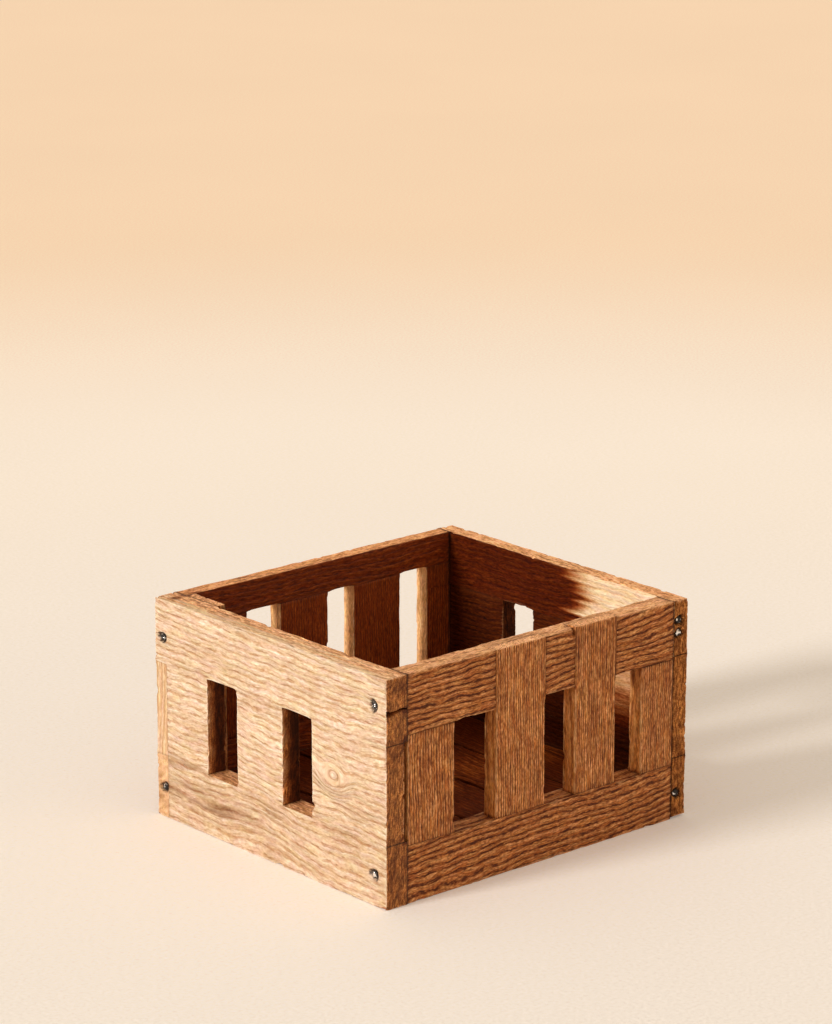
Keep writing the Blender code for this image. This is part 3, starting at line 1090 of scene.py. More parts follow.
def growth_rings_group() -> bpy.types.NodeTree:
    """Pale crests and dark grooves of the growth rings, broken along the grain.

    Returns:
        The group's tree.
    """
    group = SharedGroup(
        "growth_rings",
        Socket.floats("Rings", "Ragged") | {"Place": Socket.VECTOR},
        Socket.floats("Crest", "Groove"),
    )
    bench, given = group.bench, group.given
    place = given["Place"]
    jag = bench.times(bench.minus(bench.noise(place, (0.20, 1.0, 1.0), 3.0), 0.5), given["Ragged"])
    share = bench.math("FRACT", bench.plus(given["Rings"], jag))
    groove = bench.times(bench.smooth(share, 0.64, 0.84), bench.smooth(share, 1.0, 0.93))
    groove = bench.times(groove, bench.smooth(bench.noise(place, (0.115, 0.30, 0.30), 2.0), 0.30, 0.56))
    crest = bench.times(bench.smooth(share, 0.10, 0.45), bench.smooth(share, 0.72, 0.54))
    crest = bench.times(crest, bench.smooth(bench.noise(place, (0.11, 0.38, 0.38), 2.0), 0.32, 0.60))
    return group.give(Crest=crest, Groove=groove)


def fibres_group() -> bpy.types.NodeTree:
    """Fine light and dark fibres along the grain, short flecks, wisps and the streaks of end grain.

    Returns:
        The group's tree.
    """
    outputs = Socket.floats("Light", "Dark", "Fleck", "Wisp", "Streak")
    group = SharedGroup("fibres", {"Place": Socket.VECTOR}, outputs)
    bench, place = group.bench, group.given["Place"]
    light = bench.noise(place, (0.11, 1.15, 1.15), 3.0)
    dark = bench.noise(place, (0.15, 1.65, 1.75), 3.0)
    fleck = bench.noise(place, (0.42, 1.50, 1.50), 2.0)
    wisp = bench.noise(place, (0.15, 0.60, 0.60), 2.0)
    streak = bench.smooth(bench.noise(place, (0.10, 0.22, 1.00), 3.0), 0.38, 0.62)
    cloud = bench.smooth(bench.noise(place, (0.03, 0.10, 0.22), 3.0), 0.34, 0.60)
    cloud = bench.plus(bench.times(cloud, 0.6), 0.4)
    return group.give(
        Light=bench.smooth(light, 0.48, 0.66),
        Dark=bench.smooth(dark, 0.48, 0.66),
        Fleck=bench.smooth(fleck, 0.28, 0.72),
        Wisp=bench.smooth(wisp, 0.32, 0.68),
        Streak=bench.times(bench.plus(bench.times(streak, 0.78), 0.17), cloud),
    )


def hue_drift_group() -> bpy.types.NodeTree:
    """Slow drift of the wood's hue, as gains of its green and its blue.

    Returns:
        The group's tree.
    """
    group = SharedGroup(
        "hue_drift",
        {"Place": Socket.VECTOR} | Socket.floats("Green", "Blue"),
        Socket.colours("Color"),
    )
    bench, given = group.bench, group.given
    gains = [1.0]
    for name, stretch in (("Green", (0.09, 0.30, 0.30)), ("Blue", (0.11, 0.40, 0.38))):
        drift = bench.minus(bench.noise(given["Place"], stretch, 3.0), 0.5)
        gains.append(bench.plus(bench.times(drift, given[name]), 1.0))
    return group.give(Color=bench.combined(gains))


def wear_group() -> bpy.types.NodeTree:
    """Rubbed open edges, dark lines and a patchy darkening near where boards meet, and stains round nails.

    Returns:
        The group's tree.
    """
    group = SharedGroup(
        "wear",
        Socket.floats("Edge", "Joint", "Corner", "Nail", "End") | {"Place": Socket.VECTOR},
        Socket.floats("Rubbed", "Seam", "Grime", "Stain"),
    )
    bench, given = group.bench, group.given
    patchy = bench.noise(given["Place"], (0.12, 0.35, 0.35), 3.0)
    uneven = bench.minus(bench.noise(given["Place"], (0.6, 0.9, 0.9), 3.0), 0.5)
    reach = bench.times(bench.smooth(patchy, 0.25, 0.80), 3.2)
    rubbed = bench.times(bench.smooth(given["Edge"], reach, 0.0), bench.smooth(given["Joint"], 1.0, 2.6))
    near = bench.plus(given["Joint"], bench.times(uneven, 0.9))
    broken = bench.smooth(bench.noise(given["Place"], (0.09, 0.09, 0.09), 2.0), 0.34, 0.62)
    open_end = bench.times(given["End"], bench.minus(1.0, bench.times(broken, 0.4)))
    within = bench.times(bench.smooth(near, 0.85, 0.38), bench.plus(bench.times(broken, 0.6), open_end))
    corner = bench.plus(given["Corner"], bench.times(uneven, 1.2))
    corner = bench.times(bench.smooth(corner, 1.25, 0.45), bench.plus(bench.times(broken, 0.5), 0.5))
    dirty = bench.plus(given["Nail"], bench.times(uneven, 3.4))
    # The darkening near joints reaches about 5 mm from a joint, in patches
    return group.give(
        Rubbed=rubbed,
        Seam=bench.math("MAXIMUM", within, corner),
        Grime=bench.times(bench.smooth(near, 5.0, 0.3), bench.smooth(patchy, 0.35, 0.65)),
        Stain=bench.smooth(dirty, 3.9, 2.6),
    )


def timber_colour_group() -> bpy.types.NodeTree:
    """Colour of brushed timber from its crests, grooves and fibres.

    Returns:
        The group's tree.
    """
    sockets = Socket.floats("Crest", "Groove", "Light", "Dark", "Contrast")
    sockets |= Socket.colours("Body", "Pale", "Deep")
    group = SharedGroup("timber_colour", sockets, Socket.colours("Color"))
    bench, given = group.bench, group.given
    light = bench.plus(bench.times(given["Crest"], 0.75), bench.times(given["Light"], 0.45))
    dark = bench.plus(bench.times(given["Groove"], 0.85), bench.times(given["Dark"], 0.42))
    colour = given["Body"]
    for mask, tone in ((light, "Pale"), (dark, "Deep")):
        share = bench.math("MINIMUM", bench.times(mask, given["Contrast"]), 1.0)
        colour = bench.mix(share, colour, given[tone])
    return group.give(Color=colour)


@dataclass(frozen=True)
class Tones:
    """Linear colours of a timber surface: its body, its pale crests and its deep grooves."""

    body: Colour
    pale: Colour
    deep: Colour

    def inputs(self, masks: dict, contrast: float) -> dict:
        """Inputs of the timber colour group.

        Args:
            masks: crests, grooves and fibres.
            contrast: strength of the masks.

        Returns:
            The inputs by name.
        """
        given = {name: masks[name] for name in ("Crest", "Groove", "Light", "Dark")}
        given["Contrast"] = contrast
        return given | {"Body": (*self.body, 1), "Pale": (*self.pale, 1), "Deep": (*self.deep, 1)}


# Paler, sunlit copies of the wood, painted where the light from the left falls; AGED is its colour elsewhere
PALE_SUNLIT = Tones(body=(0.755, 0.525, 0.335), pale=(0.90, 0.73, 0.54), deep=(0.50, 0.235, 0.10))
SUNLIT = Tones(body=(1.0, 0.70, 0.41), pale=(1.0, 0.86, 0.62), deep=(0.74, 0.40, 0.18))
WARM_SUNLIT = Tones(body=(0.80, 0.50, 0.275), pale=(0.93, 0.70, 0.46), deep=(0.58, 0.29, 0.12))
GOLDEN_SUNLIT = Tones(body=(0.86, 0.43, 0.13), pale=(0.98, 0.62, 0.27), deep=(0.50, 0.20, 0.055))
AGED = Tones(body=(0.550, 0.170, 0.036), pale=(0.88, 0.400, 0.145), deep=(0.125, 0.027, 0.005))


@dataclass(frozen=True)
class TimberFinish:
    """Finish of one kind of timber in the crate. Colours are linear.

    inner_shade_tint multiplies the inner faces with painted shade, and the calms lower the grain there and
    on end grain. The bleached tones are the wood's paler, sunlit copy, used as painted sunlight, and
    rim_sunlit is the rim's sunlit copy. fading holds the powers of the painted sunlight's share that colour
    it where it fades, and tone_powers those of the tone.
    """

    name: str
    aged: Tones = AGED
    # The wood's paler, sunlit copy, used as painted sunlight
    painted_sunlight: Tones = PALE_SUNLIT
    end: Colour = (0.78, 0.30, 0.080)
    end_dark: Colour = (0.085, 0.021, 0.005)
    rim: Colour = (1.0, 0.50, 0.225)
    # The rim's sunlit copy, used where painted sunlight falls
    rim_sunlit: Colour = (0.96, 0.66, 0.38)
    seam: Colour = (0.030, 0.008, 0.003)
    stain: Colour = (0.018, 0.009, 0.006)
    # Painted shade: the inner faces' colour is multiplied by this
    inner_shade_tint: Colour = (0.50, 0.30, 0.16)
    inside_calm: float = 0.40
    end_calm: float = 0.85
    contrast: float = 1.15
    sunlit_contrast: float = 0.75
    fading: Triple = (0.0, 0.45, 0.9)
    tone_powers: Triple = (1.0, 1.35, 1.7)
    fleck: float = 0.75
    sunlit_fleck: float = 0.22
    wisp: float = 0.34
    sunlit_wisp: float = 0.13
    green_drift: float = 0.28
    blue_drift: float = 0.55
    ragged: float = 0.75
    rubbed_strength: float = 0.75
    rim_share: float = 0.40
    rim_speckle: float = 0.70
    seam_strength: float = 0.85
    near_joint_dark_strength: float = 0.40
    roughness: float = 0.64
    specular: float = 0.25
    bump: float = 0.00030

    def material(self, groups: Groups) -> bpy.types.Material:
        """Principled material that draws grain, rubbed edges, seams, stains and end grain.

        Args:
            groups: the shared node groups by name.

        Returns:
            The material.
        """
        material, bench, shader = principled(self.name)
        shader.inputs["Specular IOR Level"].default_value = self.specular
        place = bench.node("ShaderNodeAttribute", attribute_name="grain_place").outputs["Vector"]
        kept = {name: bench.value(name) for name in ("end_grain", "painted_sunlight", "inside", "tone", "rim")}
        rings = {"Rings": bench.value("rings"), "Place": place, "Ragged": self.ragged}
        rings = bench.group(groups["growth_rings"], rings)
        fibre = bench.group(groups["fibres"], {"Place": place})
        wear = {name.title(): bench.value(name) for name in ("edge", "joint", "corner", "nail")}
        wear = bench.group(groups["wear"], wear | {"End": kept["end_grain"], "Place": place})
        long_grain = bench.minus(1.0, bench.times(kept["end_grain"], self.end_calm))
        calm = bench.minus(1.0, bench.times(kept["inside"], self.inside_calm))
        long_grain = bench.times(long_grain, calm)
        sources = {"Crest": rings, "Groove": rings, "Light": fibre, "Dark": fibre}
        masks = {name: bench.times(source[name], long_grain) for name, source in sources.items()}

        colour = self.timber(bench, groups["timber_colour"], masks, fibre, kept)
        colour = self.rubbed(bench, colour, wear, fibre, kept)
        drift = {"Place": place, "Green": self.green_drift, "Blue": self.blue_drift}
        colour = bench.tinted(colour, bench.group(groups["hue_drift"], drift)["Color"])
        gains = {"Fleck": (self.fleck, self.sunlit_fleck), "Wisp": (self.wisp, self.sunlit_wisp)}
        changes = [
            bench.times(bench.minus(fibre[mask], 0.5), bench.either(kept["painted_sunlight"], *pair))
            for mask, pair in gains.items()
        ]
        tone = bench.times(kept["tone"], bench.plus(bench.plus(*changes), 1.0))
        colour = bench.tinted(colour, bench.powers(tone, self.tone_powers))
        bench.plug(self.soiled(bench, colour, wear, kept), shader.inputs["Base Color"])

        gloss = bench.times(masks["Crest"], -0.10)
        bench.plug(bench.plus(gloss, self.roughness), shader.inputs["Roughness"])
        height = bench.plus(bench.times(masks["Crest"], 0.6), bench.times(masks["Light"], 0.35))
        height = bench.minus(height, bench.plus(masks["Groove"], bench.times(masks["Dark"], 0.5)))
        bench.bump(height, self.bump, shader)
        return material

    def timber(
        self, bench: Bench, group: bpy.types.NodeTree, masks: dict, fibre: dict, kept: dict
    ) -> bpy.types.NodeSocket:
        """Colour of the aged wood, with painted shade on its inner faces, mixed with its paler copy under
        painted sunlight.

        Args:
            bench: where the nodes are laid out.
            group: the timber colour group.
            masks: crests, grooves and fibres, without those of end grain.
            fibre: outputs of the fibres group.
            kept: the numbers kept on the mesh.

        Returns:
            The colour.
        """
        aged = bench.group(group, self.aged.inputs(masks, self.contrast))["Color"]
        end_colour = bench.mix(fibre["Streak"], (*self.end_dark, 1), (*self.end, 1))
        aged = bench.mix(bench.times(kept["end_grain"], 0.9), aged, end_colour)
        # Painted shade on the inner faces
        aged = bench.mix(kept["inside"], aged, bench.tinted(aged, (*self.inner_shade_tint, 1)))
        # Paler, sunlit copy of the wood, mixed in by the share of painted sunlight
        pale = bench.group(group, self.painted_sunlight.inputs(masks, self.sunlit_contrast))["Color"]
        end_colour = bench.mix(fibre["Streak"], (*self.painted_sunlight.deep, 1), (*self.painted_sunlight.body, 1))
        pale = bench.mix(bench.times(kept["end_grain"], 0.55), pale, end_colour)
        pale = bench.tinted(pale, bench.powers(kept["painted_sunlight"], self.fading))
        return bench.mix(kept["painted_sunlight"], aged, pale)

    def rubbed(
        self, bench: Bench, colour: bpy.types.NodeSocket, wear: dict, fibre: dict, kept: dict
    ) -> bpy.types.NodeSocket:
        """Colour with the rubbed edges and the rubbed rim put on.

        Args:
            bench: where the nodes are laid out.
            colour: colour of the wood.
            wear: outputs of the wear group.
            fibre: outputs of the fibres group.
            kept: the numbers kept on the mesh.

        Returns:
            The colour.
        """
        # Where painted sunlight falls, the rubbed edges and the rim take their paler, sunlit colours
        edge = bench.mix(kept["painted_sunlight"], (*self.rim, 1), (*self.painted_sunlight.pale, 1))
        share = bench.times(wear["Rubbed"], bench.minus(1.0, bench.times(kept["inside"], 0.9)))
        colour = bench.mix(bench.times(share, self.rubbed_strength), colour, edge)
        share = bench.plus(bench.times(fibre["Wisp"], self.rim_speckle), self.rim_share)
        rim = bench.mix(kept["painted_sunlight"], (*self.rim, 1), (*self.rim_sunlit, 1))
        return bench.mix(bench.times(share, kept["rim"]), colour, rim)

    def soiled(
        self, bench: Bench, colour: bpy.types.NodeSocket, wear: dict, kept: dict
    ) -> bpy.types.NodeSocket:
        """Colour with grime, dark joint lines and nail stains put on.

        Wood under painted sunlight shows little of the darkening near joints and of the joint lines.

        Args:
            bench: where the nodes are laid out.
            colour: colour of the wood.
            wear: outputs of the wear group.
            kept: the numbers kept on the mesh.

        Returns:
            The colour.
        """
        shown = bench.minus(1.0, bench.times(kept["painted_sunlight"], 0.93))
        layers = (("Grime", self.near_joint_dark_strength, self.aged.deep), ("Seam", self.seam_strength, self.seam))
        for name, strength, dirt in layers:
            colour = bench.mix(bench.times(bench.times(wear[name], strength), shown), colour, (*dirt, 1))
        return bench.mix(bench.times(wear["Stain"], 0.92), colour, (*self.stain, 1))


@dataclass(frozen=True)
class SteelFinish:
    """Dark, worn steel of the nails. Colours are linear."""

    name: str = "nail_steel"
    steel: Colour = (0.90, 0.88, 0.86)
    rust: Colour = (0.008, 0.004, 0.003)
    roughness: float = 0.13
    bump: float = 0.00025

    def material(self, groups: Groups) -> bpy.types.Material:
        """Principled metal with dark, rougher patches.

        Args:
            groups: the shared node groups, which steel doesn't need.

        Returns:
            The material.
        """
        del groups
        material, bench, shader = principled(self.name)
        place = bench.node("ShaderNodeTexCoord").outputs["Object"]
        patch = bench.smooth(bench.noise(place, (430.0, 430.0, 430.0), 3.0), 0.40, 0.49)
        bench.plug(bench.mix(patch, (*self.steel, 1), (*self.rust, 1)), shader.inputs["Base Color"])
        bench.plug(bench.minus(1.0, bench.times(patch, 0.7)), shader.inputs["Metallic"])
        bench.plug(bench.plus(bench.times(patch, 0.35), self.roughness), shader.inputs["Roughness"])
        grit = bench.noise(place, (1900.0, 1900.0, 1900.0), 3.0)
        bench.bump(grit, self.bump, shader)
        return material


FINISHES: dict[Slot, TimberFinish | SteelFinish] = {
    Slot.FRONT: TimberFinish("front_timber", painted_sunlight=GOLDEN_SUNLIT, rim_share=0.60),
    Slot.LEFT: TimberFinish("left_timber"),
    # Right wall: dark painted shade on its inner faces, and the SUNLIT tones for its painted sun patch
    Slot.RIGHT: TimberFinish(
        "right_timber", painted_sunlight=SUNLIT, inner_shade_tint=(0.125, 0.055, 0.016), specular=0.05,
        fading=(0.0, 0.7, 1.35), rim_share=0.55,
    ),
    # Back wall: painted shade on its inner faces
    Slot.BACK: TimberFinish(
        "back_timber", painted_sunlight=WARM_SUNLIT, inner_shade_tint=(0.47, 0.22, 0.07), rim=(0.95, 0.42, 0.16),
        fading=(0.0, 0.45, 1.4),
    ),
    # Floor boards: dark painted shade on all their faces
    Slot.FLOOR: TimberFinish(
        "floor_timber", inner_shade_tint=(0.17, 0.075, 0.028), bump=0.0002, rubbed_strength=0.0, specular=0.05,
    ),
    Slot.STEEL: SteelFinish(),
}


class Paint:
    """Every finish's material, made once."""

    def __init__(self) -> None:
        """Make the shared groups and the materials."""
        groups = {
            "growth_rings": growth_rings_group(),
            "fibres": fibres_group(),
            "wear": wear_group(),
            "timber_colour": timber_colour_group(),
            "hue_drift": hue_drift_group(),
        }
        self.materials = {slot: finish.material(groups) for slot, finish in FINISHES.items()}
        self.faces = 0

    def dress(self, piece: bpy.types.Object, node: str, slot: Slot) -> None:
        """Give a piece its finish, and let it stand for a node of the frame.

        Args:
            piece: the object.
            node: the node that it replaces.
            slot: its material slot.
        """
        piece.data.materials.append(self.materials[slot])
        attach(piece, "root")
        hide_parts(node)
        self.faces += len(piece.data.polygons)
        LOG.info("%s: %d faces, stands for %s", piece.name, len(piece.data.polygons), node)


# Sub-assemblies


def node_box(node: str) -> Box:
    """Lowest and highest corner of a node of the frame."""
    low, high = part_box(node)
    return np.array(low), np.array(high)


ENTERED = {
    "left_nail": (Axis.X, Side.LOW),
    "right_nail": (Axis.X, Side.HIGH),
    "front_nail": (Axis.Y, Side.LOW),
    "back_nail": (Axis.Y, Side.HIGH),
}


def nail_seats(low: np.ndarray, high: np.ndarray) -> tuple[NailSeat, ...]:
    """Crushed hollows of the nails that enter the board between two corners.

    Args:
        low: the board's lowest corner.
        high: its highest corner.

    Returns:
        The hollows.
    """
    seats = []
    for node in sorted(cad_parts):
        if node[:-2] not in ENTERED:
            continue
        axis, side = ENTERED[node[:-2]]
        start, end = node_box(node)
        centre = (start + end) / 2
        head = start if side is Side.LOW else end
        centre[axis.value] = head[axis.value]
        if np.all(centre > low - MM) and np.all(centre < high + MM):
            radius = max(np.delete(end - start, axis.value)) / 2
            seats.append(NailSeat(axis, side, tuple(centre), radius))
    return tuple(seats)


@dataclass
class Wall:
    """Joints between the boards of a wall, in metres, and the boards' common making.

    shoulder says how far a tenon stands in from the sides of its board, and lap how thick a slat is
    where it is halved over a rail.
    """

    tenon_thick: float = 0.004
    tenon_length: float = 0.008
    shoulder: float = 0.004
    lap: float = 0.007

    def tenons(
        self, low: np.ndarray, high: np.ndarray, through: Axis, ends: tuple[Side, ...]
    ) -> list[Step]:
        """Stub tenons at the ends of a board that stands between two rails.

        Args:
            low: the board's lowest corner.
            high: its highest corner.
            through: axis of its thickness.
            ends: the ends that have a tenon.

        Returns:
            The steps in its section.
        """
        inset = [self.shoulder, self.shoulder, 0.0]
        inset[through.value] = (high - low)[through.value] / 2 - self.tenon_thick / 2
        length = self.tenon_length + GAP
        spans = {Side.LOW: (low[2] - MM, low[2] + length), Side.HIGH: (high[2] - length, high[2] + MM)}
        return [Step(Axis.Z, *spans[end], tuple(inset), tuple(inset), hidden=True) for end in ends]

    def mortise(self, post: str, through: Axis, side: Side) -> Mortise:
        """Recess in a rail's edge for the stub tenon of a slat or block.

        Args:
            post: node of the slat or block.
            through: axis of its thickness.
            side: the rail's edge that holds the recess.

        Returns:
            The recess.
        """
        low, high = node_box(post)
        along = Axis.X if through is Axis.Y else Axis.Y
        start, end = low.copy(), high.copy()
        start[along.value] += self.shoulder - GAP
        end[along.value] -= self.shoulder - GAP
        middle = (low + high)[through.value] / 2
        start[through.value] = middle - self.tenon_thick / 2 - GAP
        end[through.value] = middle + self.tenon_thick / 2 + GAP
        return Mortise(Axis.Z, side, tuple(start), tuple(end), self.tenon_length + GAP)

    @staticmethod
    def board(node: str, slot: Slot, grain: Axis, through: Axis, growth: Growth, **more: object) -> Board:
        """Board in a node's box, with the hollows of the nails that enter it.

        Args:
            node: the node.
            slot: its material slot.
            grain: axis along the grain.
            through: axis of its thickness.
            growth: how the rings run.
            **more: further fields of the board.

        Returns:
            The board.
        """
        low, high = node_box(node)
        hollows = nail_seats(low, high) + more.pop("hollows", ())
        return Board(node, slot, tuple(low), tuple(high), grain, through, growth, hollows=hollows, **more)


@dataclass
class FrontWall(Wall):
    """Front wall: two rails, two slats under the top rail and two slats halved over it.

    halved holds the numbers of those two slats, and slat_tones the change of tone of all four.
    """

    rail_growth: Growth = Growth(
        ring=3.3, pith_depth=30.0, slope=-0.05, ripple=0.40, ripple_reach=(18.0, 12.0, 10.0), seed=21
    )
    slat_growth: Growth = Growth(
        ring=1.5, pith_depth=25.0, slope=0.004, wander=1.0, ripple=0.14, ripple_reach=(40.0, 9.0, 9.0),
        seed=31,
    )
    rail_brushing: Brushing = Brushing(ridge=0.42, seed=41)
    slat_brushing: Brushing = Brushing(ridge=0.20, fibre=0.07, patch=(22.0, 3.5, 5.0), seed=33)
    slat_tones: tuple[float, ...] = (-0.02, 0.03, 0.0, -0.02)
    halved: tuple[int, ...] = (2, 3)
    chip_width: float = 0.0022
    chip_height: float = 0.0042
    chip_depth: float = 0.0022

    def rail(self, node: str, slats: tuple[int, ...], side: Side, **more: object) -> Board:
        """Rail with a mortise for each slat that stands on it or under it."""
        cuts = tuple(self.mortise(f"front_slat_{number}", Axis.Y, side) for number in slats)
        return self.board(
            node, Slot.FRONT, Axis.X, Axis.Y, self.rail_growth,
            brushing=self.rail_brushing, inward=(0, 1, 0), mortises=cuts, **more,
        )

    def housings(self) -> tuple[Step, ...]:
        """Housings in the top rail for the two halved slats, and the chip beside the second one.

        Returns:
            The steps in its section.
        """
        steps = []
        for number in self.halved:
            start, end = node_box(f"front_slat_{number}")
            steps.append(Step(Axis.X, start[0] - GAP, end[0] + GAP, (0, self.lap + GAP, 0)))
        side = node_box("front_slat_3")[0][0] - GAP
        top = node_box("front_top_rail")[1][2]
        upper = (Axis.Z, top - self.chip_height, top + MM)
        steps.append(Step(Axis.X, side - self.chip_width, side, (0, self.chip_depth, 0), within=upper))
        return tuple(steps)

    def slat(self, number: int) -> Board:
        """Upright slat, tenoned at both ends or halved over the top rail.

        Args:
            number: place of the slat from the left.

        Returns:
            The slat.
        """
        node = f"front_slat_{number}"
        low, high = node_box(node)
        if number in self.halved:
            steps = self.tenons(low, high, Axis.Y, (Side.LOW,))
            under = node_box("front_top_rail")[0][2] - GAP
            thinned = (0, (high - low)[1] - self.lap, 0)
            steps.append(Step(Axis.Z, under, high[2] + MM, high=thinned))
        else:
            steps = self.tenons(low, high, Axis.Y, (Side.LOW, Side.HIGH))
        # The slats' faces towards -X take painted sunlight
        return self.board(
            node, Slot.FRONT, Axis.Z, Axis.Y, self.slat_growth,
            brushing=self.slat_brushing, inward=(0, 1, 0), steps=tuple(steps),
            shift=(23.0 * number, 37.0 * number, 3.0 * number), tone=self.slat_tones[number - 1],
            cloudy=0.08, cross_step=0.00034, sun=PaintedSun(face=0.50),
        )

    def boards(self) -> list[Board]:
        """Boards of the wall.

        Returns:
            The rails, then what stands between them.
        """
        bottom = self.rail("front_bottom_rail", (1, 2, 3, 4), Side.HIGH, tone=-0.08)
        top = self.rail(
            "front_top_rail", (1, 4), Side.LOW, steps=self.housings(), shift=(140.0, -31.0, 4.0), tone=-0.07
        )
        return [bottom, top] + [self.slat(number) for number in (1, 2, 3, 4)]


@dataclass
class SideWall(Wall):
    """Left or right wall: two rails and three blocks, all with the grain along the wall.

    split_drop says how far below the rim the split in the top rail runs, top_sun is the painted sunlight on
    that rail, and block_suns holds the painted sunlight of single blocks by number. bottom_tone is the
    bottom rail's change of tone. What is left is passed on to every board: sun is the painted sunlight of
    the other boards, and slot_dirt the painted shade in the slots.
    """

    side: str = "left"
    slot: Slot = Slot.LEFT
    growth: Growth = Growth()
    brushing: Brushing = Brushing()
    inward: Triple = (1.0, 0.0, 0.0)
    # Painted sunlight on the faces towards -X, on the lit lips of the slots and on the rim
    sun: PaintedSun = PaintedSun(face=1.0, reveal=0.55)
    top_sun: PaintedSun = PaintedSun(face=1.0, reveal=0.55, crown=0.9)
    block_suns: dict[int, PaintedSun] = field(default_factory=dict)
    worn_top: float = 0.85
    split_drop: float | None = None
    blotches: tuple[Blotch, ...] = ()
    # Painted shade deep in the slots
    slot_dirt: float = 0.82
    slot_lip: float = 0.0075
    swollen: float = 0.5
    joint_ease: float = 0.00004
    bottom_tone: float = -0.07

    def side_board(self, node: str, **more: object) -> Board:
        """Board of the wall, with what all its boards share."""
        return self.board(
            node, self.slot, Axis.Y, Axis.X, self.growth, brushing=self.brushing, inward=self.inward,
            blotches=self.blotches, slot_dirt=self.slot_dirt, slot_lip=self.slot_lip, swollen=self.swollen,
            joint_ease=self.joint_ease, **more,
        )

    def rail(self, name: str, side: Side) -> Board:
        """Top or bottom rail with a mortise for each block.

        Args:
            name: top or bottom.
            side: its edge that holds the mortises.

        Returns:
            The rail.
        """
        node = f"{self.side}_{name}_rail"
        cuts = tuple(self.mortise(f"{self.side}_block_{number}", Axis.X, side) for number in (1, 2, 3))
        hollows = ()
        if self.split_drop and name == "top":
            low, high = node_box(node)
            hollows = (Crack(Axis.Y, Side.LOW, high[2] - self.split_drop, low[0]),)
        return self.side_board(
            node, sun=self.top_sun if name == "top" else self.sun, mortises=cuts, hollows=hollows,
            worn_top=self.worn_top, tone=0.0 if name == "top" else self.bottom_tone,
        )

    def block(self, number: int) -> Board:
        """Block between the rails, tenoned at both ends.

        Args:
            number: place of the block from the front.

        Returns:
            The block.
        """
        node = f"{self.side}_block_{number}"
        low, high = node_box(node)
        steps = tuple(self.tenons(low, high, Axis.X, (Side.LOW, Side.HIGH)))
        return self.side_board(node, sun=self.block_suns.get(number, self.sun), steps=steps)

    def boards(self) -> list[Board]:
        """Boards of the wall.

        Returns:
            The rails, then what stands between them.
        """
        bottom = self.rail("bottom", Side.HIGH)
        top = self.rail("top", Side.LOW)
        return [bottom, top] + [self.block(number) for number in (1, 2, 3)]


@dataclass
class BackWall(Wall):
    """Back wall: two rails and four slats, the outer two notched round the side walls' top rails.

    The looks of the slats are how much painted sunlight their faces towards -X take, and their change of
    tone.
    """

    rail_growth: Growth = Growth(
        ring=3.3, pith_depth=30.0, slope=0.04, ripple=0.40, ripple_reach=(18.0, 12.0, 10.0), seed=51
    )
    slat_growth: Growth = Growth(
        ring=1.7, pith_depth=25.0, slope=0.01, wander=1.1, ripple=0.16, ripple_reach=(38.0, 9.0, 9.0),
        seed=53,
    )
    inward: Triple = (0.0, -1.0, 0.0)
    swollen: float = 0.5
    end_slat_look: tuple[float, float] = (1.0, -0.04)
    slat_look: tuple[float, float] = (0.66, 0.22)
    corner: Blotch = Blotch((-0.1125, 0.097, 0.016), (0.012, 0.016, 0.020), -0.22)

    def rail(self, name: str, side: Side, shift: Triple) -> Board:
        """Top or bottom rail with a mortise for each slat."""
        cuts = tuple(self.mortise(f"back_slat_{number}", Axis.Y, side) for number in (1, 2, 3, 4))
        # The rails' ends towards -X take painted sunlight
        return self.board(
            f"back_{name}_rail", Slot.BACK, Axis.X, Axis.Y, self.rail_growth,
            brushing=Brushing(ridge=0.34, seed=55), inward=self.inward, shift=shift, mortises=cuts,
            sun=PaintedSun(face=1.0), swollen=self.swollen, blotches=(self.corner, CORNER_STAIN),
        )

    def slat(self, number: int) -> Board:
        """Upright slat with a stub tenon at each end.

        Args:
            number: place of the slat from the left.

        Returns:
            The slat.
        """
        node = f"back_slat_{number}"
        low, high = node_box(node)
        steps = self.tenons(low, high, Axis.Y, (Side.LOW, Side.HIGH))
        if number in (1, 4):
            steps = [steps[0], *self.notched_end(number, low, high)]
        # face is the share of painted sunlight on the faces towards -X
        face, tone = self.end_slat_look if number == 1 else self.slat_look
        return self.board(
            node, Slot.BACK, Axis.Z, Axis.Y, self.slat_growth,
            brushing=Brushing(ridge=0.22, seed=57), inward=self.inward, steps=tuple(steps),
            shift=(17.0 * number, 41.0 * number, 2.0), sun=PaintedSun(face=face), tone=tone,
            swollen=self.swollen,
        )

    def notched_end(self, number: int, low: np.ndarray, high: np.ndarray) -> list[Step]:
        """Notch of an outer slat round a side wall's top rail, and the tenon above it.

        Args:
            number: place of the slat from the left.
            low: its lowest corner.
            high: its highest corner.

        Returns:
            The steps in its section.
        """
        rail_low, rail_high = node_box("back_top_rail")
        side_rail = "left_top_rail" if number == 1 else "right_top_rail"
        level = node_box(side_rail)[0][2] - GAP
        joint = rail_low[2] - GAP
        from_low = rail_low[0] - low[0] if number == 1 else 0.0
        from_high = high[0] - rail_high[0] if number == 4 else 0.0
        thin = (high - low)[1] / 2 - self.tenon_thick / 2
        notch = Step(Axis.Z, level, joint, (from_low, 0, 0), (from_high, 0, 0))
        inset_low = (from_low + self.shoulder, thin, 0)
        inset_high = (from_high + self.shoulder, thin, 0)
        return [notch, Step(Axis.Z, joint, high[2] + MM, inset_low, inset_high, hidden=True)]

    def boards(self) -> list[Board]:
        """Boards of the wall.

        Returns:
            The rails, then what stands between them.
        """
        bottom = self.rail("bottom", Side.HIGH, (30.0, 0.0, 0.0))
        top = self.rail("top", Side.LOW, (-60.0, 22.0, 5.0))
        return [bottom, top] + [self.slat(number) for number in (1, 2, 3, 4)]


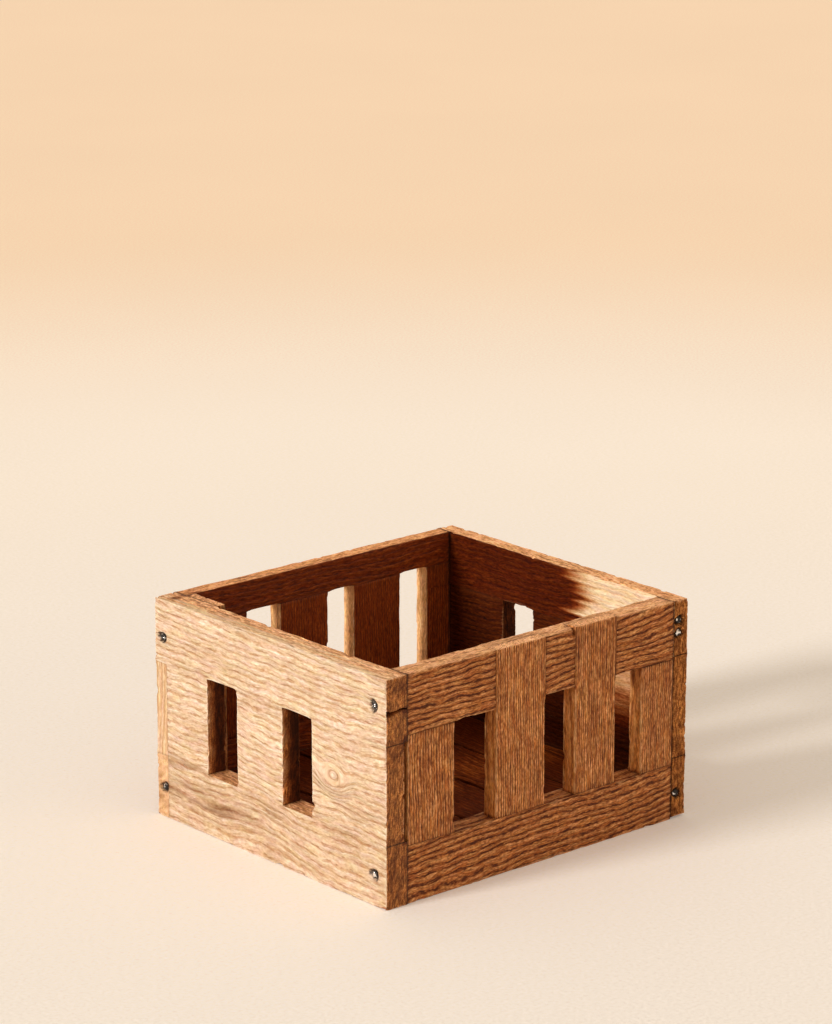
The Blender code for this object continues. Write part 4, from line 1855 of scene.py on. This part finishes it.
@dataclass
class CrateFloor(Wall):
    """Ledgers, the floor boards across them and the block in the back left corner."""

    growth: Growth = Growth(ring=2.6, pith_depth=-70.0, slope=0.02, ripple=0.5, seed=61)
    count: int = 5
    # Painted light: a pale band across the floor boards where light through the left wall's slots falls
    painted_sun_band: Blotch = Blotch((0.060, -0.006, 0.018), (0.085, 0.016, 0.020), 2.0)

    def plank(self, node: str, grain: Axis, through: Axis, slot: Slot, shift: Triple) -> Board:
        """Plain board with eased edges."""
        return self.board(
            node, slot, grain, through, self.growth, brushing=Brushing(ridge=0.16, seed=63),
            inward=(0, 0, 1) if slot is Slot.FLOOR else (1, 0, 0), shift=shift, along_step=0.0022,
            cross_step=0.0007, enclosed=1.0 if slot is Slot.FLOOR else 0.0,
            blotches=(self.painted_sun_band,) if through is Axis.Z else (CORNER_STAIN,),
        )

    def boards(self) -> list[Board]:
        """Boards of the floor and the corner block.

        Returns:
            The planks, the ledgers and the block.
        """
        planks = [
            self.plank(f"floor_board_{number}", Axis.Y, Axis.Z, Slot.FLOOR, (0.0, 53.0 * number, 0.0))
            for number in range(1, self.count + 1)
        ]
        front = self.plank("front_ledger", Axis.X, Axis.Y, Slot.FLOOR, (0.0, 300.0, 0.0))
        back = self.plank("back_ledger", Axis.X, Axis.Y, Slot.FLOOR, (50.0, 350.0, 0.0))
        corner = self.plank("corner_block", Axis.Z, Axis.X, Slot.LEFT, (0.0, 400.0, 0.0))
        return planks + [front, back, corner]


@dataclass
class Nails:
    """Nails, floor brads and ledger pins: a domed, dented head, a round shank and a point.

    dome, head_share and shank_share are shares of the radius of the node's head. The dents' depth and
    their reach are in mm.
    """

    paint: Paint
    around: int = 28
    dome: float = 0.34
    dent: float = 0.28
    dent_reach: Triple = (2.2, 2.2, 2.2)
    wobble: float = 0.035
    wobble_reach: Triple = (2.0, 2.0, 2.0)
    head_share: float = 0.98
    shank_share: float = 0.42
    sharp_angle: float = 60.0

    def profile(self, head: float, shank: float, length: float) -> tuple[np.ndarray, np.ndarray]:
        """Radius and depth of the nail's outline from the top of its head to its point.

        The head is a flattened arc with a rolled rim, and the point is a short cone.

        Args:
            head: radius of the head.
            shank: radius of the shank.
            length: length of the nail.

        Returns:
            The radii and the depths, in metres.
        """
        turn = np.radians([0.0, 12.0, 26.0, 40.0, 54.0, 68.0, 80.0, 90.0])
        thick = 0.45 * head
        below = [head * 0.97, shank * 1.5, shank, shank, shank * 0.1]
        radius = np.concatenate([head * np.sin(turn), below])
        top = self.dome * head * (1 - np.cos(turn))
        depth = np.concatenate([top, [thick, thick * 1.1, thick * 1.6, length - 3 * shank, length]])
        return radius, depth

    def build_one(self, node: str) -> None:
        """One nail, turned about the axis of its node, with its head at the end where the node is wide.

        Args:
            node: the node that it replaces.
        """
        cad_points = np.array([vertex.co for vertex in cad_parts[node].data.vertices])
        low, high = node_box(node)
        axis = int(np.argmax(high - low))
        side = self.head_side(cad_points, axis)
        head = max(np.delete(high - low, axis)) / 2
        radii = (head * self.head_share, head * self.shank_share)
        radius, depth = self.profile(*radii, (high - low)[axis])
        angle = np.linspace(0, 2 * math.pi, self.around, endpoint=False)
        seed = sum(ord(letter) for letter in node)
        circle = np.stack([np.cos(angle), np.sin(angle), 0 * angle], axis=1)
        wobble = 1 - self.wobble * (1 + Ripple(seed, self.wobble_reach).at(circle))
        ring = radius[1:-1, None] * wobble[None, :]
        across = np.stack([ring * np.cos(angle), ring * np.sin(angle)], axis=-1).reshape(-1, 2)
        down = np.repeat(depth[1:-1], self.around)
        dents = Ripple(seed + 1, self.dent_reach).at(np.column_stack([across / MM, 0 * down]))
        down = down + self.dent * MM * np.clip(0.5 + 0.5 * dents, 0, 1) * (down < 0.4 * head)
        across = np.vstack([across, [[0.0, 0.0], [0.0, 0.0]]])
        down = np.append(down, [depth[0] + 0.5 * self.dent * MM, depth[-1]])
        points = self.placed(across, down, axis, side, low, high)
        faces = self.faces(len(radius) - 2)
        if (side > 0) != (axis == 1):
            faces = faces[:, ::-1]
        mesh = surface_mesh(node + "_steel", points, faces)
        mesh.set_sharp_from_angle(angle=math.radians(self.sharp_angle))
        self.paint.dress(add_piece(node + "_steel", mesh), node, Slot.STEEL)

    @staticmethod
    def head_side(points: np.ndarray, axis: int) -> int:
        """Side of the nail's axis that holds its head: the one whose points stand further out.

        Args:
            points: points of the node.
            axis: the nail's axis.

        Returns:
            1 for the upper side and -1 for the lower.
        """
        middle = (points.min(axis=0) + points.max(axis=0)) / 2
        away = np.linalg.norm(np.delete(points - middle, axis, axis=1), axis=1)
        widest = away > 0.9 * away.max()
        return 1 if points[widest, axis].mean() > middle[axis] else -1

    @staticmethod
    def placed(
        across: np.ndarray, down: np.ndarray, axis: int, side: int, low: np.ndarray, high: np.ndarray
    ) -> np.ndarray:
        """Points of a nail put on its node's axis, with depth running from its head into the wood.

        Args:
            across: places across the nail's axis.
            down: depths below the top of the head.
            axis: the nail's axis.
            side: side of the axis that holds the head.
            low: the node's lowest corner.
            high: its highest corner.

        Returns:
            The points in metres.
        """
        points = np.zeros((len(down), 3))
        others = [place for place in range(3) if place != axis]
        points[:, others] = across + ((low + high) / 2)[others]
        points[:, axis] = high[axis] - down if side > 0 else low[axis] + down
        return points

    def faces(self, rings: int) -> np.ndarray:
        """Triangles between the rings of points, with a fan at the head and at the point.

        Args:
            rings: number of rings between the two ends.

        Returns:
            The triangles.
        """
        step = np.arange(self.around)
        after = (step + 1) % self.around
        top = np.full(self.around, rings * self.around)
        last = (rings - 1) * self.around
        head = np.stack([top, after, step], axis=1)
        point = np.stack([top + 1, last + step, last + after], axis=1)
        return np.concatenate([head, ring_faces(rings, self.around), point])

    def build(self) -> None:
        """Build and dress every nail, brad and pin."""
        for node in sorted(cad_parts):
            if "nail" in node or "brad" in node or "pin" in node:
                self.build_one(node)


# Studio


@dataclass
class Studio:
    """Pale floor, soft low light from the left and the camera.

    Lengths are in metres, angles in degrees and colours linear. The floor's colour changes between the two
    distances of each band.
    """

    floor_radius: float = 14.0
    floor_middle: float = 0.02
    floor_rings: int = 26
    floor_around: int = 96
    near_floor: Colour = (0.94, 0.86, 0.77)
    # Painted shadow: the floor's dark colour under the crate
    shadow_under_crate: Colour = (0.16, 0.09, 0.05)
    mid_floor: Colour = (0.98, 0.88, 0.76)
    far_floor: Colour = (0.95, 0.73, 0.52)
    near_band: tuple[float, float] = (0.30, 0.80)
    far_band: tuple[float, float] = (0.80, 1.70)
    floor_cloud: float = 0.05
    floor_weave: float = 0.34
    floor_glow: float = 0.18
    light_height: float = 20.0
    light_behind: float = 9.0
    light_strength: float = 2.45
    light_spread: float = 13.0
    fill_colour: Colour = (1.0, 0.87, 0.72)
    fill: float = 0.52
    lens: float = 134.0
    place: Triple = (-1.3538, -1.5424, 0.7582)
    azimuth: float = 41.191
    elevation: float = 15.742

    def build(self) -> None:
        """Build the stage, the light and the camera."""
        self.floor()
        self.world()
        self.light()
        self.camera()
        bpy.context.scene.view_settings.view_transform = "Standard"

    def floor(self) -> None:
        """Flat disc of floor: rings of points that widen outwards, and a small disc in the middle."""
        radii = np.geomspace(self.floor_middle, self.floor_radius, self.floor_rings)
        angle = np.linspace(0, 2 * math.pi, self.floor_around, endpoint=False)
        ring = np.stack([np.cos(angle), np.sin(angle), 0 * angle], axis=1)
        points = np.vstack([(radii[:, None, None] * ring[None]).reshape(-1, 3), [[0.0, 0.0, 0.0]]])
        step = np.arange(self.floor_around)
        after = (step + 1) % self.floor_around
        middle = np.stack([np.full_like(step, len(points) - 1), step, after], axis=1)
        bands = ring_faces(self.floor_rings, self.floor_around)
        faces = np.concatenate([middle, bands[:, ::-1]])
        piece = add_piece("studio_floor", surface_mesh("studio_floor", points, faces))
        piece.data.materials.append(self.floor_finish())

    def floor_finish(self) -> bpy.types.Material:
        """Matt pale floor, lifted to its written colour for the camera, with the shadow kept and a painted
        shadow under the crate.

        Returns:
            The material.
        """
        material, bench, shader = principled("studio_floor")
        place = bench.node("ShaderNodeTexCoord").outputs["Object"]
        away = bench.node("ShaderNodeVectorMath", {0: place}, operation="LENGTH").outputs["Value"]
        share = bench.smooth(away, *self.near_band)
        colour = bench.mix(share, (*self.near_floor, 1), (*self.mid_floor, 1))
        colour = bench.mix(bench.smooth(away, *self.far_band), colour, (*self.far_floor, 1))
        cloud = bench.minus(bench.noise(place, (3.0, 3.0, 3.0), 3.0), 0.5)
        weave = bench.minus(bench.noise(place, (480.0, 480.0, 480.0), 2.0), 0.5)
        level = bench.plus(bench.times(cloud, self.floor_cloud), bench.times(weave, self.floor_weave))
        colour = bench.tinted(colour, bench.combined([bench.plus(level, 1.0)] * 3))
        # Painted shadow under the crate: dark floor and no glow inside its footprint
        clear = self.clear_of_crate(bench, place)
        colour = bench.mix(clear, (*self.shadow_under_crate, 1), colour)
        bench.plug(colour, shader.inputs["Base Color"])
        bench.plug(colour, shader.inputs["Emission Color"])
        glow = bench.times(bench.times(self.seen(bench), self.floor_glow), clear)
        bench.plug(glow, shader.inputs["Emission Strength"])
        shader.inputs["Roughness"].default_value = 0.9
        shader.inputs["Specular IOR Level"].default_value = 0.1
        return material

    @staticmethod
    def clear_of_crate(bench: Bench, place: bpy.types.NodeSocket) -> bpy.types.NodeSocket:
        """0 under the crate, and 1 from just inside the border of its footprint outwards.

        Args:
            bench: where the nodes are laid out.
            place: the floor's own coordinates.

        Returns:
            The share.
        """
        parts = bench.node("ShaderNodeSeparateXYZ", {0: place}).outputs
        shares = []
        for axis, half in zip("XY", cad_box[1][:2]):
            shares.append(bench.smooth(bench.math("ABSOLUTE", parts[axis]), half - 0.008, half - 0.003))
        return bench.math("MAXIMUM", shares[0], shares[1])

    @staticmethod
    def seen(bench: Bench) -> bpy.types.NodeSocket:
        """1 for what the camera sees, straight or in a reflection, and 0 for light on the object.

        Args:
            bench: where the nodes are laid out.

        Returns:
            The share.
        """
        path = bench.node("ShaderNodeLightPath").outputs
        seen = path["Is Camera Ray"]
        for kind in ("Is Glossy Ray", "Is Transmission Ray"):
            seen = bench.plus(seen, path[kind])
        return bench.math("MINIMUM", seen, 1.0)

    def world(self) -> None:
        """Even fill light, and the far floor's colour behind everything."""
        world = bpy.data.worlds.new("studio_world")
        bpy.context.scene.world = world
        world.use_nodes = True
        bench = Bench(world.node_tree)
        world.node_tree.nodes.clear()
        mixed = bench.node("ShaderNodeMixShader", {0: self.seen(bench)})
        layers = ((self.fill_colour, self.fill), (self.far_floor, 1.0))
        for place, (colour, strength) in enumerate(layers, 1):
            inputs = {"Color": (*colour, 1), "Strength": strength}
            bench.plug(bench.node("ShaderNodeBackground", inputs).outputs[0], mixed.inputs[place])
        bench.node("ShaderNodeOutputWorld", {"Surface": mixed.outputs[0]})

    def light(self) -> None:
        """Broad low light from the left, a little behind the front wall."""
        lamp = bpy.data.lights.new("low_window", "SUN")
        lamp.energy = self.light_strength
        lamp.angle = math.radians(self.light_spread)
        holder = add_piece("low_window", lamp)
        holder.rotation_euler = np.radians([90 - self.light_height, 0.0, -90 - self.light_behind])

    def camera(self) -> None:
        """Camera that looks down at the crate's near corner."""
        data = bpy.data.cameras.new("camera")
        data.lens = self.lens
        holder = add_piece("camera", data)
        holder.location = self.place
        holder.rotation_euler = np.radians([90 - self.elevation, 0.0, -self.azimuth])
        bpy.context.scene.camera = holder


def side_walls() -> tuple[SideWall, SideWall]:
    """Left wall, with its knot, its dark clouds and its split, and the right wall with its painted sun
    patch.

    Returns:
        The two walls.
    """
    growth = Growth(
        ring=3.4, pith_depth=60.0, slope=-0.03, wander=1.8, ripple=0.36, ripple_reach=(18.0, 11.0, 10.0),
        seed=71, knots=(Knot(along=-56.0, across=65.0, reach=15.0, gain=0.9, stretch=1.3),),
    )
    # Clouds on the outer face: place along Y and Z, reach along Y and Z, change of tone
    clouds = (
        (0.055, 0.019, 0.050, 0.0065, -0.36),
        (0.085, 0.037, 0.028, 0.003, -0.34),
        (0.004, 0.030, 0.018, 0.003, -0.34),
        (-0.066, 0.045, 0.030, 0.030, -0.07),
        (0.097, 0.020, 0.008, 0.022, -0.14),
    )
    outer = [Blotch((-0.1125, y, z), (0.10, long, tall), change) for y, z, long, tall, change in clouds]
    # Stains and notches on the front ends: place along X and Z, reach along X and Z, change of tone
    stains = (
        (-0.1050, 0.124, 0.02, 0.006, -0.30),
        (-0.1050, 0.086, 0.02, 0.005, -0.34),
        (-0.1050, 0.020, 0.02, 0.010, -0.22),
        (-0.0985, 0.0375, 0.0030, 0.0020, -3.0),
        (-0.0983, 0.0905, 0.0018, 0.0040, -2.2),
        (-0.0985, 0.1105, 0.0022, 0.0014, -2.2),
    )
    ends = [Blotch((x, -0.100, z), (wide, 0.0012, tall), change) for x, z, wide, tall, change in stains]
    left = SideWall(
        side="left", slot=Slot.LEFT, growth=growth, brushing=Brushing(ridge=0.34, nick=1.7, seed=73),
        split_drop=0.0193, blotches=(*outer, *ends, CORNER_STAIN),
    )
    right = SideWall(
        side="right", slot=Slot.RIGHT, growth=replace(growth, seed=81, knots=(), slope=0.03),
        brushing=Brushing(ridge=0.34, nick=1.4, seed=83), inward=(-1.0, 0.0, 0.0), sun=PaintedSun(),
        # Painted sun patch on the inner face near the front top corner; elsewhere that face takes dark
        # painted shade
        top_sun=PaintedSun(face=1.0, patch=(-0.036, -0.009), rest=0.02), worn_top=0.2, slot_lip=0.001,
        block_suns={1: PaintedSun(face=0.62, patch=(-0.036, -0.009), fall=(0.076, 0.046), rest=0.02)},
    )
    return left, right


def main() -> None:
    """Build the crate's looks, piece by piece."""
    logging.basicConfig(level=logging.INFO, format="%(message)s")
    paint = Paint()
    boards = FrontWall().boards()
    for wall in (*side_walls(), BackWall(), CrateFloor()):
        boards += wall.boards()
    neighbours = Neighbours(boards)
    for board in boards:
        paint.dress(board.build(neighbours), board.node, board.slot)
    Nails(paint).build()
    Studio().build()
    LOG.info("crate: %d faces", paint.faces)


if __name__ == "__main__":
    main()
